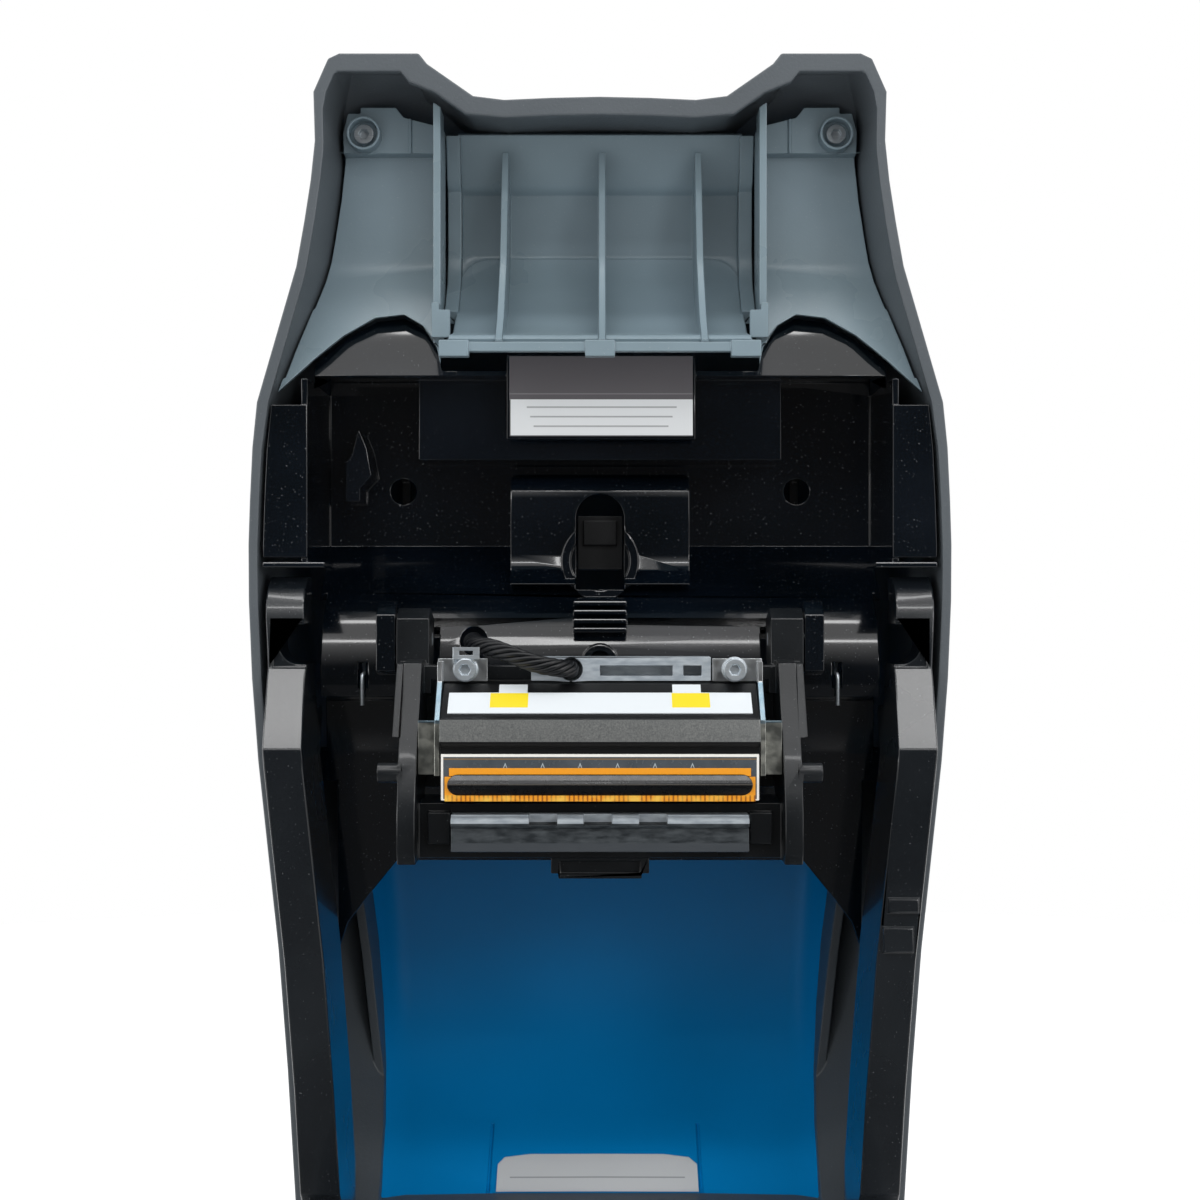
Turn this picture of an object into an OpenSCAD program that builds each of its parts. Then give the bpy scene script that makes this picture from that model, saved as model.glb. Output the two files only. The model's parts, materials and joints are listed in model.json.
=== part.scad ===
// Desktop id card printer with its lid raised.
// X is the width, the front looks along -Y, Z is up, and the printer stands on Z = 0.
// Lid pieces are drawn open, in lid places: x, depth d behind the rim, and z up from the hinge axis.

/* [Body] */
// Width over the side covers
body_w = 201.6; // [194:0.4:212]
// Height of the parting line above the table
base_h = 130; // [128:1:140]
// Hinge axis to the front tips of the lid
lid_len = 351; // [346:1:362]
// Rim of the lid to its crown
lid_rise = 106; // [100:1:114]
// How far the base runs back behind the hinge axis
rear_reach = 19; // [19:1:26]
// Wall of the outer covers
wall = 2.6; // [2.2:0.2:3]
// Thickness of the blue top panel
panel_t = 1.8; // [1.4:0.2:2.4]
// Height of the rubber feet
foot_h = 6; // [5:0.5:8]
// Radius of the rubber feet
foot_r = 9; // [7:0.5:11]

/* [Hinge and latch] */
// Diameter of the hinge pins
hinge_pin_d = 6; // [5:0.5:7]
// Radius of the round hinge lugs
lug_r = 8; // [7:0.5:9]
// Width of each lid arm
arm_w = 11; // [9:0.5:12]
// Hinge axis to the latch hooks
latch_z = 182; // [180:0.5:184]

/* [Print head] */
// Hinge axis to the burn line
burn_z = 147; // [146:0.5:148]
// How far the burn line stands out of the rim plane
burn_out = 38; // [37:0.5:39]
// Width of the head body
head_w = 86; // [80:1:88]
// Width between the outer faces of the carriage arms
carriage_w = 109; // [107:0.5:110]
// Diameter of the carriage axle
axle_d = 4; // [3:0.5:5]
// Diameter of the head cable
cable_d = 5.2; // [4.4:0.2:5.6]

/* [Card path] */
// Radius of the rubber rollers
roller_r = 8; // [7.4:0.2:8.4]
// Length of the rubber rollers
roller_w = 56; // [50:1:58]
// Diameter of the roller shafts
shaft_d = 6; // [5:0.5:7]
// Distance from the platen to the feed roller
feed_gap = 80; // [76:1:84]
// Distance from the platen to the pick roller
pick_gap = 125; // [122:1:128]
// Space under the head for a card and the ribbon
card_gap = 1; // [0.9:0.1:1.4]
// Width of the card track beside the rollers
track_side = 3; // [2:0.5:5]
// Room beside the side frames for the drive, at the widest place of the side covers
side_room = 33.8; // [33:0.2:36]
// Thickness of the side frames
frame_t = 2; // [1.6:0.2:2.4]

/* [Hidden] */
$fn = 48;

fit = 0.2;               // gap between pieces that are fitted together
run = 0.05;              // radial clearance of a turning shaft
skin = 0.3;              // gap between pieces that face each other and move
arch = 3;                // how far the crown bows over its edges
lid_back = 9;            // hinge axis to the lid's rear wall
hinge_y = (lid_len - lid_rise - arch - panel_t) / 2;   // puts y = 0 at the middle of the open printer
shoulder_z = lid_len - 100;
neck_z = lid_len - 61;
dip_z = lid_len - 12.4;  // middle of the dip in the front edge
front_y = hinge_y - dip_z;
rear_y = hinge_y + rear_reach;
floor_z = foot_h + 2.5;  // top of the pan's floor
platen_y = hinge_y - burn_z;
card_z = base_h - burn_out - card_gap;                 // top of the rollers, under the card
axis_z = card_z - roller_r;
feed_y = platen_y - feed_gap;
pick_y = platen_y - pick_gap;
shaft_r = shaft_d / 2;
frame_x = body_w / 2 - side_room - frame_t;
hopper_w = roller_w + 2 * track_side;
takeup_y = hinge_y - 236;
takeup_z = base_h - 12;
supply_y = hinge_y - 78;
supply_z = base_h - 18;
pivot_d = 6;             // carriage axle, behind the rim plane
pivot_z = 183;
carriage_x = carriage_w / 2;

// ---- outline of the printer from above: how far each side lies inside body_w, by distance from the hinge
inset_by_share = [
    [0, 15], [0.09, 13.4], [0.23, 11.4], [0.375, 8.6], [0.486, 5.6], [0.59, 2.8], [0.685, 1], [0.773, 0.1],
    [0.837, 0], [0.888, 0.4], [0.948, 1.1], [1, 2.4]
];
inset_by_z = concat(
    [[-rear_reach, 33], [-14, 22], [-6, 15.8]],
    [for (p = inset_by_share) [p[0] * shoulder_z, p[1]]],
    [[neck_z, 13.7], [lid_len - 48, 16], [lid_len - 36.4, 17.8], [lid_len - 25, 19]],
    [[lid_len - 11, 18.6], [lid_len - 1.5, 22.8], [lid_len, 26]]
);
function half_w(z) = body_w / 2 - lookup(z, inset_by_z);
// half of the dip in the front edge, from the horn to the middle, drawn t inside the outline
function dip(t) = [
    [52 + t, lid_len - t], [49.6 + t, lid_len - 3 - t], [43.8 + 0.7 * t, lid_len - 7 - 0.8 * t],
    [36.4 + 0.4 * t, lid_len - 12.2 - t], [27.5, lid_len - 13.3 - t], [14, lid_len - 12.7 - t]
];
// the outline drawn t inside, or s inside along its sides where s is given
function side_points(t, s) = [
    for (p = inset_by_z) [half_w(p[0]) - (is_undef(s) ? t : s), min(max(p[0], -rear_reach + t), lid_len - t)]
];
function half_outline(t, s) = concat(side_points(t, s), dip(t));
function flip(points) = [for (i = [len(points) - 1 : -1 : 0]) [-points[i][0], points[i][1]]];
function outline(t, s) = concat(half_outline(t, s), [[0, dip_z - t]], flip(half_outline(t, s)));

// ---- crown of the lid: how far it lies under lid_rise, by distance from the hinge
drop_by_share = [
    [0.075, 53], [0.112, 36], [0.167, 21], [0.239, 10], [0.327, 3.4], [0.43, 0.6], [0.558, 0], [0.685, 1.5],
    [0.817, 5], [0.924, 9.6], [1, 14]
];
drop_by_z = concat(
    [[lid_back, 76], [lid_back + 4, 63]],
    [for (p = drop_by_share) [p[0] * shoulder_z, p[1]]],
    [[lid_len - 81, 20.5], [lid_len - 61.4, 28], [neck_z, 28.2], [lid_len - 44, 36.5], [lid_len - 28, 45]],
    [[lid_len - 16, 53.5], [lid_len - 8, 62], [lid_len - 3, 72], [lid_len, 90]]
);
function rise(z) = lid_rise - lookup(z, drop_by_z);
function rise_in(z, t) = t < 0 ? rise(z) - t : min(rise(z) - t, rise(z + t), rise(z - t));
function half_section(w, p) = [
    [w, 0], [w - 3 * p / lid_rise, p - min(27, 0.36 * p)], [w - 6, p - min(22, 0.28 * p)],
    [w - 20, p - min(5.5, 0.1 * p)], [w - 27, p - min(1.2, 0.02 * p)],
    [0.5 * (w - 27), p + 0.75 * arch * p / lid_rise]
];
function section(w, p) = concat(half_section(w, p), [[0, p + arch * p / lid_rise]], flip(half_section(w, p)));

// ---- placing helpers
module in_lid() { translate([0, hinge_y, base_h]) children(); }
// a drawing in (x, z) carried from depth d0 to d1
module plan(d0, d1) { translate([0, d1, 0]) rotate([90, 0, 0]) linear_extrude(d1 - d0) children(); }
// a drawing in (d, z) or (y, z) carried from x0 to x1
module side(x0, x1) { translate([x0, 0, 0]) rotate([90, 0, 90]) linear_extrude(x1 - x0) children(); }
module rod(x0, x1, r, y, z) { translate([x0, y, z]) rotate([0, 90, 0]) cylinder(h = x1 - x0, r = r); }
module post(d0, d1, r, x, z) { translate([x, d0, z]) rotate([-90, 0, 0]) cylinder(h = d1 - d0, r = r); }
module block(x0, x1, y0, y1, z0, z1) { translate([x0, y0, z0]) cube([x1 - x0, y1 - y0, z1 - z0]); }
module both() { children(); mirror([1, 0, 0]) children(); }
// the base's outline, t inside the covers, from z0 to z1
module base_plan(t, z0, z1) {
    translate([0, hinge_y, z0]) mirror([0, 1, 0]) linear_extrude(z1 - z0) polygon(outline(t));
}

// a strip of thickness t behind a line of points
function side_of(a, b) = let (v = b - a) [-v[1], v[0]] / norm(v);
function at(points, i) = points[min(max(i, 0), len(points) - 1)];
function normal_at(points, i) =
    let (n = (i > 0 ? side_of(at(points, i - 1), at(points, i)) : [0, 0])
        + (i < len(points) - 1 ? side_of(at(points, i), at(points, i + 1)) : [0, 0])) n / norm(n);
function strip(points, t) = concat(points, [
    for (i = [len(points) - 1 : -1 : 0]) points[i] + t * normal_at(points, i)
]);
function shifted(points, t) = [for (i = [0 : len(points) - 1]) points[i] + t * normal_at(points, i)];
function arc(d, z, r, a0, a1, n) = [
    for (i = [0 : n]) let (a = a0 + (a1 - a0) * i / n) [d + r * cos(a), z + r * sin(a)]
];

// ================= lid =================
lid_stations = concat(
    [lid_back, lid_back + 4],
    [for (p = drop_by_share) p[0] * shoulder_z],
    [for (share = [0.375, 0.486, 0.59, 0.773, 0.837, 0.888, 0.948]) share * shoulder_z],
    [lid_len - 81, neck_z - 4, neck_z, lid_len - 48, lid_len - 36.4, lid_len - 28, lid_len - 25],
    [lid_len - 16, lid_len - 11],
    [lid_len - 6, lid_len - 3, lid_len - 1.5, lid_len]
);
function sorted(v) = len(v) < 2 ? v : let (m = v[floor(len(v) / 2)]) concat(
    sorted([for (x = v) if (x < m) x]), [m], sorted([for (x = v) if (x > m) x])
);
// half width of the lid at z, drawn t inside
// an inner wall also keeps clear of the outline just before and after z
function lid_half(z, t) =
    t <= 0 ? half_w(z) - t : min(half_w(z), half_w(min(z + t, lid_len)), half_w(max(z - t, lid_back))) - t;
module lid_form(t) {
    ends = [lid_back + t, lid_len - max(t, 0)];
    zs = concat(ends[0], [for (z = sorted(lid_stations)) if (z > ends[0] + 0.3 && z < ends[1] - 0.3) z], ends[1]);
    // an inner form starts in front of the rim, so that it opens the lid
    rings = [
        for (z = zs) [for (p = section(lid_half(z, t), rise_in(z, t))) [p[0], t > 0 && p[1] == 0 ? -1 : p[1], z]]
    ];
    n = len(rings[0]);
    last = len(rings) - 1;
    polyhedron(
        points = [for (ring = rings) each ring],
        faces = concat(
            [[for (i = [0 : n - 1]) i]],
            [for (k = [0 : last - 1], i = [0 : n - 1]) let (j = (i + 1) % n)
                [k * n + i, (k + 1) * n + j, k * n + j]],
            [for (k = [0 : last - 1], i = [0 : n - 1]) let (j = (i + 1) % n)
                [k * n + i, (k + 1) * n + i, (k + 1) * n + j]],
            [[for (i = [n - 1 : -1 : 0]) last * n + i]]
        )
    );
}
module dip_cut(t) {
    plan(-1, lid_rise) polygon(concat(
        [[60 + t, lid_len + 9]], dip(t), [[0, dip_z - t]], flip(dip(t)), [[-60 - t, lid_len + 9]]
    ));
}
window_z0 = lid_back + 3;
window_z1 = 150;
window_inset = 14.4;
function window_half(z) = half_w(z) - window_inset - 6 * (window_z1 - z) / window_z1;
function window_side(grow) = [
    for (z = [window_z0 - grow, 40, 80, 120, window_z1 + grow]) [window_half(z) + grow, z]
];
module window2d(grow) { polygon(concat(window_side(grow), flip(window_side(grow)))); }
rim_w = 5.2;             // width of the rim band along the front edge
rim_t = 3;
rib_w = 3;
rib_deep = 22;           // height of the ribs that edge the window

module lid_shell() {
    color("#34373b") in_lid() {
        difference() {
            union() {
                difference() {
                    lid_form(0);
                    difference() {
                        lid_form(wall);
                        dip_cut(wall);
                    }
                }
                // the broad rim band round the front
                intersection() {
                    plan(0, rim_t) difference() {
                        polygon(outline(0.2));
                        polygon(outline(rim_w, wall - 0.4));
                    }
                    block(-body_w, body_w, -1, 9, shoulder_z, lid_len + 1);
                }
                // ribs along the window's edges
                intersection() {
                    lid_form(wall / 2);
                    plan(lid_rise - rib_deep - 14, lid_rise + 9) difference() {
                        window2d(rib_w);
                        window2d(0);
                    }
                    block(-body_w, body_w, lid_rise - rib_deep - 14, lid_rise + 9, window_z0 + 14, window_z1 - 6);
                }
            }
            dip_cut(0);
            // notches round the arms
            both() block(
                half_w(lid_back) - arm_in - arm_w - 1, half_w(lid_back) - arm_in + 1,
                -1, lug_r + 2, lid_back - 1, lid_back + wall + 0.6
            );
            intersection() {
                plan(20, lid_rise + 9) window2d(0);
                block(-body_w, body_w, 19, lid_rise + 9, window_z0, window_z1);
            }
        }
    }
}

panel_edge = 9;          // shoulder of the shell left bare beside the panel
module blue_top_panel() {
    color("#0a6fa8") in_lid() intersection() {
        difference() {
            lid_form(-panel_t);
            lid_form(0);
            // two fine grooves beside the label
            intersection() {
                lid_form(-panel_t / 2);
                for (x = [-34.9, 30.9]) block(x, x + 0.8, 19, lid_rise, lid_back, 26);
            }
        }
        plan(16, lid_rise + 9) polygon(concat(
            [for (z = [lid_back + 1, 40, 80, 120, 160, 200, 235]) [half_w(z) - panel_edge, z]],
            [[half_w(shoulder_z) - 18, shoulder_z + 3], [half_w(shoulder_z) - 34, shoulder_z + 8]],
            [[-half_w(shoulder_z) + 34, shoulder_z + 8], [-half_w(shoulder_z) + 18, shoulder_z + 3]],
            [for (z = [235, 200, 160, 120, 80, 40, lid_back + 1]) [-half_w(z) + panel_edge, z]]
        ));
    }
}

// the arch where the grey liner meets the glossy ribbon bay, from the rim to the chute
arch_points = [
    [95.6, 252], [89.6, 258], [83.6, 264.2], [75.2, 271.9], [66.5, 277.5], [58.1, 278.6],
    [52.3, 275], [47.8, 268]
];
screw_z = lid_len - 18;
screw_x = half_w(screw_z) - 11.65;      // the liner screws keep their distance from the outline
panel_top = lid_len - 7;
ledge_z = lid_len - 55;  // foot of the recessed panels
chute_x = 46.4;          // inner face of the liner's long ribs
module below_arch(g) {
    polygon(concat(
        [[body_w, liner_foot], [body_w, 252 - g], [95.6, 252 - g]],
        [for (p = arch_points) p - [0, g]],
        [[chute_x, 262 - g], [-chute_x, 262 - g]],
        [for (i = [len(arch_points) - 1 : -1 : 0]) [-arch_points[i][0], arch_points[i][1] - g]],
        [[-95.6, 252 - g], [-body_w, 252 - g], [-body_w, liner_foot]]
    ));
}
module front_liner() {
    line = [
        [19, panel_top + 2], [25, panel_top], [25, lid_len - 23], [28.5, lid_len - 23.5], [28.5, ledge_z],
        [22, ledge_z - 12], [12, ledge_z - 28], [4, shoulder_z - 1], [1.2, shoulder_z - 8]
    ];
    color("#3d4146") in_lid() {
        difference() {
            intersection() {
                union() {
                    both() side(chute_x + fit, body_w / 2) polygon(strip(line, 2));
                    // long ribs beside the chute, and their feet
                    both() block(chute_x, chute_x + 2.2, 9, 27, ledge_z - 16, panel_top);
                    both() block(chute_x, chute_x + 2.2, 3, 22, ledge_z - 26, ledge_z - 15.9);
                    both() block(chute_x - 3.2, chute_x + 2.2, 3, 5, ledge_z - 26, ledge_z - 18);
                    // raised frame of the screw pads
                    both() post(20, 26, 5, screw_x, screw_z);
                    // fine step beside each pad
                    both() block(56.4, 57.2, 24.2, 25.2, lid_len - 23, panel_top);
                }
                intersection() {
                    // the shell's sides lean in, so the liner gets narrower with its depth
                    union() {
                        plan(-1, 8) polygon(outline(wall + rim_w - 1.6, wall + 1.4));
                        plan(7.9, 20) polygon(outline(wall + rim_w - 1.6, wall + 2.1));
                        plan(19, 60) polygon(outline(wall + rim_w + 1.4, wall + 2.5));
                    }
                    block(-body_w, body_w, 0.5, 60, shoulder_z - 6, lid_len);
                }
            }
            plan(-1, 60) below_arch(-skin);
            both() block(screw_x + 1.4, body_w, 24, 40, lid_len - 11, lid_len);
            // slanted corner of the screw pads
            both() plan(19, 60) polygon([
                [screw_x + 8, lid_len - 22], [screw_x + 2.2, lid_len], [body_w, lid_len], [body_w, lid_len - 22]
            ]);
            both() post(18, 30, 1.6, screw_x, screw_z);
            both() post(18, 24.2, 4.2, screw_x, screw_z);
        }
    }
}

lip_z = ledge_z - 30;    // free lip of the chute
lip_d = -11;
chute_t = 2;
module chute_tray() {
    back = [[34, dip_z - 18], [37.5, ledge_z + 22], [38, ledge_z + 4]];
    scoop = [[34, ledge_z - 6], [24, ledge_z - 16], [8, ledge_z - 25], [lip_d + 2, lip_z + 2], [lip_d, lip_z]];
    ramp = concat([[27, dip_z - 4.6]], back, scoop);
    scoop_line = concat([[38, ledge_z + 4]], [for (i = [0 : len(scoop) - 2]) scoop[i]], [[lip_d + 1, lip_z + 1]]);
    scoop_corner = concat([[chute_x, lip_z - 9]], [
        for (a = [0 : 15 : 90]) [chute_x - 12.8 + 9 * cos(a), ledge_z - 6.6 + 9 * sin(a)]
    ]);
    color("#4a4e54") in_lid() {
        side(-chute_x + 3.6, chute_x - 3.6) polygon(strip(ramp, chute_t));
        // the scoop's raised skin, with its rounded top corners
        intersection() {
            side(-chute_x + 3.8, chute_x - 3.8) polygon(concat(
                shifted(scoop_line, -1), [for (i = [len(scoop_line) - 1 : -1 : 0]) shifted(scoop_line, 0.6)[i]]
            ));
            plan(-20, 60) polygon(concat(scoop_corner, flip(scoop_corner)));
        }
        // side rims of the scoop
        both() side(chute_x - 4.4, chute_x - skin) polygon(concat(
            [[25, dip_z - 5.2], [29, dip_z - 5.6]],
            shifted(back, chute_t / 2),
            [[40.4, ledge_z], [36, ledge_z - 8], [27, ledge_z - 16], [22.6, ledge_z - 19.4]],
            [[20, ledge_z - 16], [30, ledge_z - 6], [33, ledge_z + 4], [32, ledge_z + 22], [29, dip_z - 18]]
        ));
        // three ribs
        for (x = [-28.4, 0.6, 29.4]) side(x - 1, x + 1) polygon(concat(
            [[26, dip_z - 10]], shifted(concat(back, scoop), chute_t / 2),
            [[lip_d - 1.2, lip_z + 1.4], [-1, ledge_z - 20], [14, ledge_z - 2], [22, ledge_z + 20]]
        ));
        // the lip and its tabs
        block(-chute_x + 3, chute_x - 3, lip_d - 1, lip_d + 2.2, lip_z - 2, lip_z + 0.7);
        for (x = [-41, 0, 41]) block(x - 4.2, x + 4.2, lip_d - 1.6, lip_d + 2.6, lip_z - 3.4, lip_z + 1.2);
    }
}

module liner_screws() {
    color("#c9ccd0") in_lid() both() {
        difference() {
            union() {
                post(21.6, 24.2, 2.9, screw_x, screw_z);
                post(24.2, 30, 1.5, screw_x, screw_z);
            }
            translate([screw_x, 21.5, screw_z]) rotate([-90, 0, 0]) cylinder(h = 1.6, r = 1.6, $fn = 6);
        }
    }
}

bay_x = 84;              // inner half width of the ribbon bay
bay_d = 48;              // its depth
bay_top = 259.5;
drum_d = 40;
drum_z = 171;
drum_r = 29;
liner_foot = 88;         // lowest point of the liner's corners
foot_edge = [[61, 116], [70.4, 104.5], [76, 97], [79, liner_foot]];
bay_line = concat(
    [[24, 279.5], [18, 270], [14, bay_top + 0.5], [16, bay_top], [bay_d - 1, bay_top + 2.5], [bay_d, bay_top - 2]],
    [[bay_d, 211], [44, 206.5], [34, 202]],
    arc(drum_d, drum_z, drum_r, 112, 190, 13),
    [[22, 164.5], [24, 150], [26, 146], [29, liner_foot]]
);
saddle_line = concat(
    [[bay_d, 233], [41, 232]], arc(36, 225, 7, 100, 180, 5), [[28.4, 217], [29, 208], [27, 203]],
    [[22, 199], [bay_d, 199]]
);
slot_w = 14.5;
hook_line = [
    [18, pivot_z + 10], [2, pivot_z + 11], [-3, pivot_z + 7], [-3, pivot_z - 9], [3, pivot_z - 10.4],
    [7, pivot_z - 7], [18, pivot_z - 7]
];
knuckle_line = [
    [pivot_d + 6, pivot_z + 6], [1, pivot_z + 9], [-4, pivot_z + 6], [-4.6, pivot_z - 7], [2, pivot_z - 9.4],
    [pivot_d + 6, pivot_z - 6]
];
module ribbon_bay_liner() {
    color("#0e151d") in_lid() {
        difference() {
            union() {
                intersection() {
                    side(-bay_x, bay_x) polygon(strip(bay_line, 2));
                    plan(-1, 90) below_arch(skin);
                    plan(-1, 90) polygon(outline(wall + 3.2));
                    plan(-1, 90) polygon(concat(
                        [[-foot_edge[0][0], foot_edge[0][1]]],
                        foot_edge,
                        [[bay_x, liner_foot], [bay_x, 300], [-bay_x, 300], [-bay_x, liner_foot]],
                        [for (i = [len(foot_edge) - 1 : -1 : 1]) [-foot_edge[i][0], foot_edge[i][1]]]
                    ));
                }
                // ends of the bay, with the flat grey face beside the rim
                intersection() {
                    both() {
                        block(bay_x, bay_x + 2, 2, bay_d + 2, 205, 258);
                        block(bay_x, body_w / 2, 1.2, 3.2, 206.5, shoulder_z - 0.6);
                        block(bay_x - 5, body_w / 2, 0.4, 18, 203.6, 205.2);
                    }
                    plan(-1, 90) polygon(outline(wall + 1.4));
                    plan(-1, 90) below_arch(skin);
                }
                // the pad that carries the label
                block(-54, 54, 22, bay_d + 0.5, 236, 262);
                // the tab in front of it, for the label
                block(-27.4, 28, tab_face, tab_face + 2, 241.4, 266.4);
                block(-27.4, 28, tab_face + 1, 19, 259.8, 266.4);
                // centre saddle with its ring
                side(-27, 27) polygon(saddle_line);
                post(24, 36, 11.6, 0, 206);
                // arrow shaped hook
                plan(30, bay_d + 0.5) polygon([
                    [-76.8, 224], [-72.5, 224], [-72.5, 228], [-69, 232], [-70.5, 240], [-73, 246], [-75, 238],
                    [-76.8, 236]
                ]);
                // stepped ribs under the saddle, and the hub
                for (i = [0 : 3]) block(-7.8, 7.8, 13.4 - i, 24, 192.6 - 2.6 * i, 194 - 2.6 * i);
                post(8, 16, 5.4, 0, 176);
                block(-49, 49, 7.5, 13, 171, 173.4);
                // lugs that hold the carriage axle
                both() difference() {
                    union() {
                        side(carriage_x + 3.8, carriage_x + 9.4) polygon(hook_line);
                    }
                    rod(0, 99, axle_d / 2 + run, pivot_d, pivot_z);
                }
                // feet of the bay on the crown
                both() block(60, 63, bay_d + 1, rise(246) - wall - 1.6, 214, 246);
                both() block(40, 70, 25, rise(160) - wall - 26, 150, 152);
            }
            // keyhole slot
            hull_slot();
            both() post(40, 60, 4, 61.2, 228);
            // clearance for the carriage knuckles
            both() block(carriage_x - 7.4, carriage_x + 3.79, -20, pivot_d + 11, pivot_z - 18, pivot_z + 11.5);
            both() rod(carriage_x - 8, carriage_x + 11, axle_d / 2 + run, pivot_d, pivot_z);
            // room for the lid arms and the head cable
            both() block(half_w(150) - arm_in - arm_w - 0.4, body_w, -9, 26, 140, 203.2);
            both() block(half_w(122) - arm_in - arm_w - 0.4, body_w, -9, 40, liner_foot - 9, 140.1);
            post(6, 26, 4, cable_route[0][0], cable_route[0][2]);
            // slots for the spring wires
            both() block(67.9, 70.7, 8, 20, 168.6, 176);
            post(6, 12, 3.3, 0, 176);
        }
    }
}
module hull_slot() {
    block(-slot_w / 2, slot_w / 2, 10, 60, 197.4, 219);
    post(10, 60, slot_w / 2, 0, 219);
    post(20, 31, 8.9, 0, 206);
}

// lid arms: they carry the hinge bores, and stand out of the rim behind the latch pockets
arm_in = 5;              // rim to the arm's outer face
arm_out = 20;            // how far the arms stand out of the rim plane
arm_z = [0, 22, 58, 94, 122, 148, 172, 194, 201];
module arm2d() {
    polygon(concat(
        [for (z = arm_z) [half_w(z) - arm_in, z]],
        [for (i = [len(arm_z) - 1 : -1 : 0]) [half_w(arm_z[i]) - arm_in - arm_w, arm_z[i]]]
    ));
}
arm_side = concat(
    [[24, 203], [13, 202.6], [7, 200.8], [2, 197.4], [-1, 193], [-2, 189], [-2, 175]],
    [[-arm_out, 153], [-arm_out, 30]],
    [[-lug_r, 12], [-lug_r, 0], [lug_r, 0], [lug_r, 16], [14, 30], [14, 150], [24, 160]]
);
pocket_x = half_w(latch_z) - arm_in - 9.1;
module lid_arm() {
    difference() {
        union() {
            intersection() {
                plan(-arm_out - 1, 30) arm2d();
                side(0, body_w / 2) polygon(arm_side);
            }
            rod(half_w(0) - arm_in - arm_w, half_w(0) - arm_in, lug_r, 0, 0);
        }
        rod(0, body_w / 2, hinge_pin_d / 2 + run, 0, 0);
        // D shaped latch pocket
        post(-9, 22, 5.6, pocket_x, latch_z - 0.4);
        block(pocket_x - arm_w + 6, pocket_x, -9, 22, latch_z - 6, latch_z + 5.2);
        block(pocket_x - arm_w + 6, pocket_x + 7.5, -9, -1.3, latch_z - 7, latch_z + 6.6);
        // long trough between the arm's walls
        intersection() {
            block(0, body_w, -7, 30, 26, 150);
            plan(-7, 30) polygon(concat(
                [for (z = arm_z) [half_w(z) - arm_in - 2.2, z]],
                [for (i = [len(arm_z) - 1 : -1 : 0]) [half_w(arm_z[i]) - arm_in - arm_w + 2.2, arm_z[i]]]
            ));
        }
        block(half_w(170) - arm_in - arm_w - 9, body_w, 14.6, 40, 163, 204);
    }
}
module arm_steps() {
    block(half_w(120) - arm_in - arm_w + 0.5, half_w(120) - arm_in - 2, -arm_out - 1.2, -arm_out + 2, 108, 112);
    block(half_w(106) - arm_in - arm_w + 0.5, half_w(106) - arm_in - 2, -arm_out - 1.2, -arm_out + 2, 97, 104);
}
module left_lid_arm() { color("#2c3034") in_lid() mirror([1, 0, 0]) lid_arm(); }
module right_lid_arm() {
    color("#2c3034") in_lid() {
        lid_arm();
        arm_steps();
    }
}

tab_face = 13.4;         // front of the tab that carries the ribbon label
module ribbon_label() {
    color("#d9dadb") in_lid() block(-26.6, 27.2, tab_face - 0.45, tab_face - 0.05, 242.2, 265.8);
}
module ribbon_sensor() {
    color("#16181b") in_lid() {
        block(-6.8, 6.8, 36, bay_d + 6, 203.6, 220);
        block(-5, 5, 34.6, 36, 211, 218.4);
    }
}
module lid_label() {
    color("#e8e9ea") in_lid() intersection() {
        difference() {
            lid_form(0.02);
            lid_form(0.5);
        }
        plan(10, 99) polygon([
            [-32, window_z0 + 0.4], [30.4, window_z0 + 0.4], [30.4, 17.6], [28, 19], [20, 19.6], [-22, 19.6],
            [-30, 19], [-32, 17.6]
        ]);
    }
}
module carriage_springs() {
    color("#d4d6d8") in_lid() both() {
        rod(67, 71.6, 3, 18.6, 178.6);
        block(68.7, 69.9, 16, 17.2, 172, 177);
        block(68.7, 69.9, 9, 17.2, 172, 173.2);
        block(68.7, 69.9, 9, 10.2, 163.4, 172);
    }
}
module carriage_axle() {
    color("#c0c4c8") in_lid() both() rod(carriage_x - 6, carriage_x + 9.2, axle_d / 2, pivot_d, pivot_z);
}

// ================= print head =================
head_x = head_w / 2;
face_d = -burn_out + 2;  // front of the head plate
module carriage_arm() {
    outer = [
        [pivot_d - 4, 176], [-8, 177.6], [-16, 176.8], [-22, 166], [-29, 157], [-33, 150], [-35, 143], [-37, 137],
        [-37, 126.6], [-35, 123.2], [-27, 123.2], [-22, 131], [-6, 140], [6, 152], [pivot_d + 3, 166]
    ];
    difference() {
        union() {
            side(carriage_x - 5, carriage_x) polygon(outer);
            side(carriage_x - 6, carriage_x + 3.4) polygon(knuckle_line);
            side(carriage_x - 5, carriage_x) polygon([[0, 178], [pivot_d + 6, 178], [pivot_d + 4, 165], [-2, 165]]);
            side(carriage_x - 0.1, carriage_x + 2) polygon([[-16, 176.8], [-3, 176.8], [-8, 160], [-29, 157]]);
            rod(carriage_x - 1, carriage_x + 5.6, 2.7, -31, burn_z + 0.6);
        }
        rod(0, 99, axle_d / 2 + run, pivot_d, pivot_z);
    }
}
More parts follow.
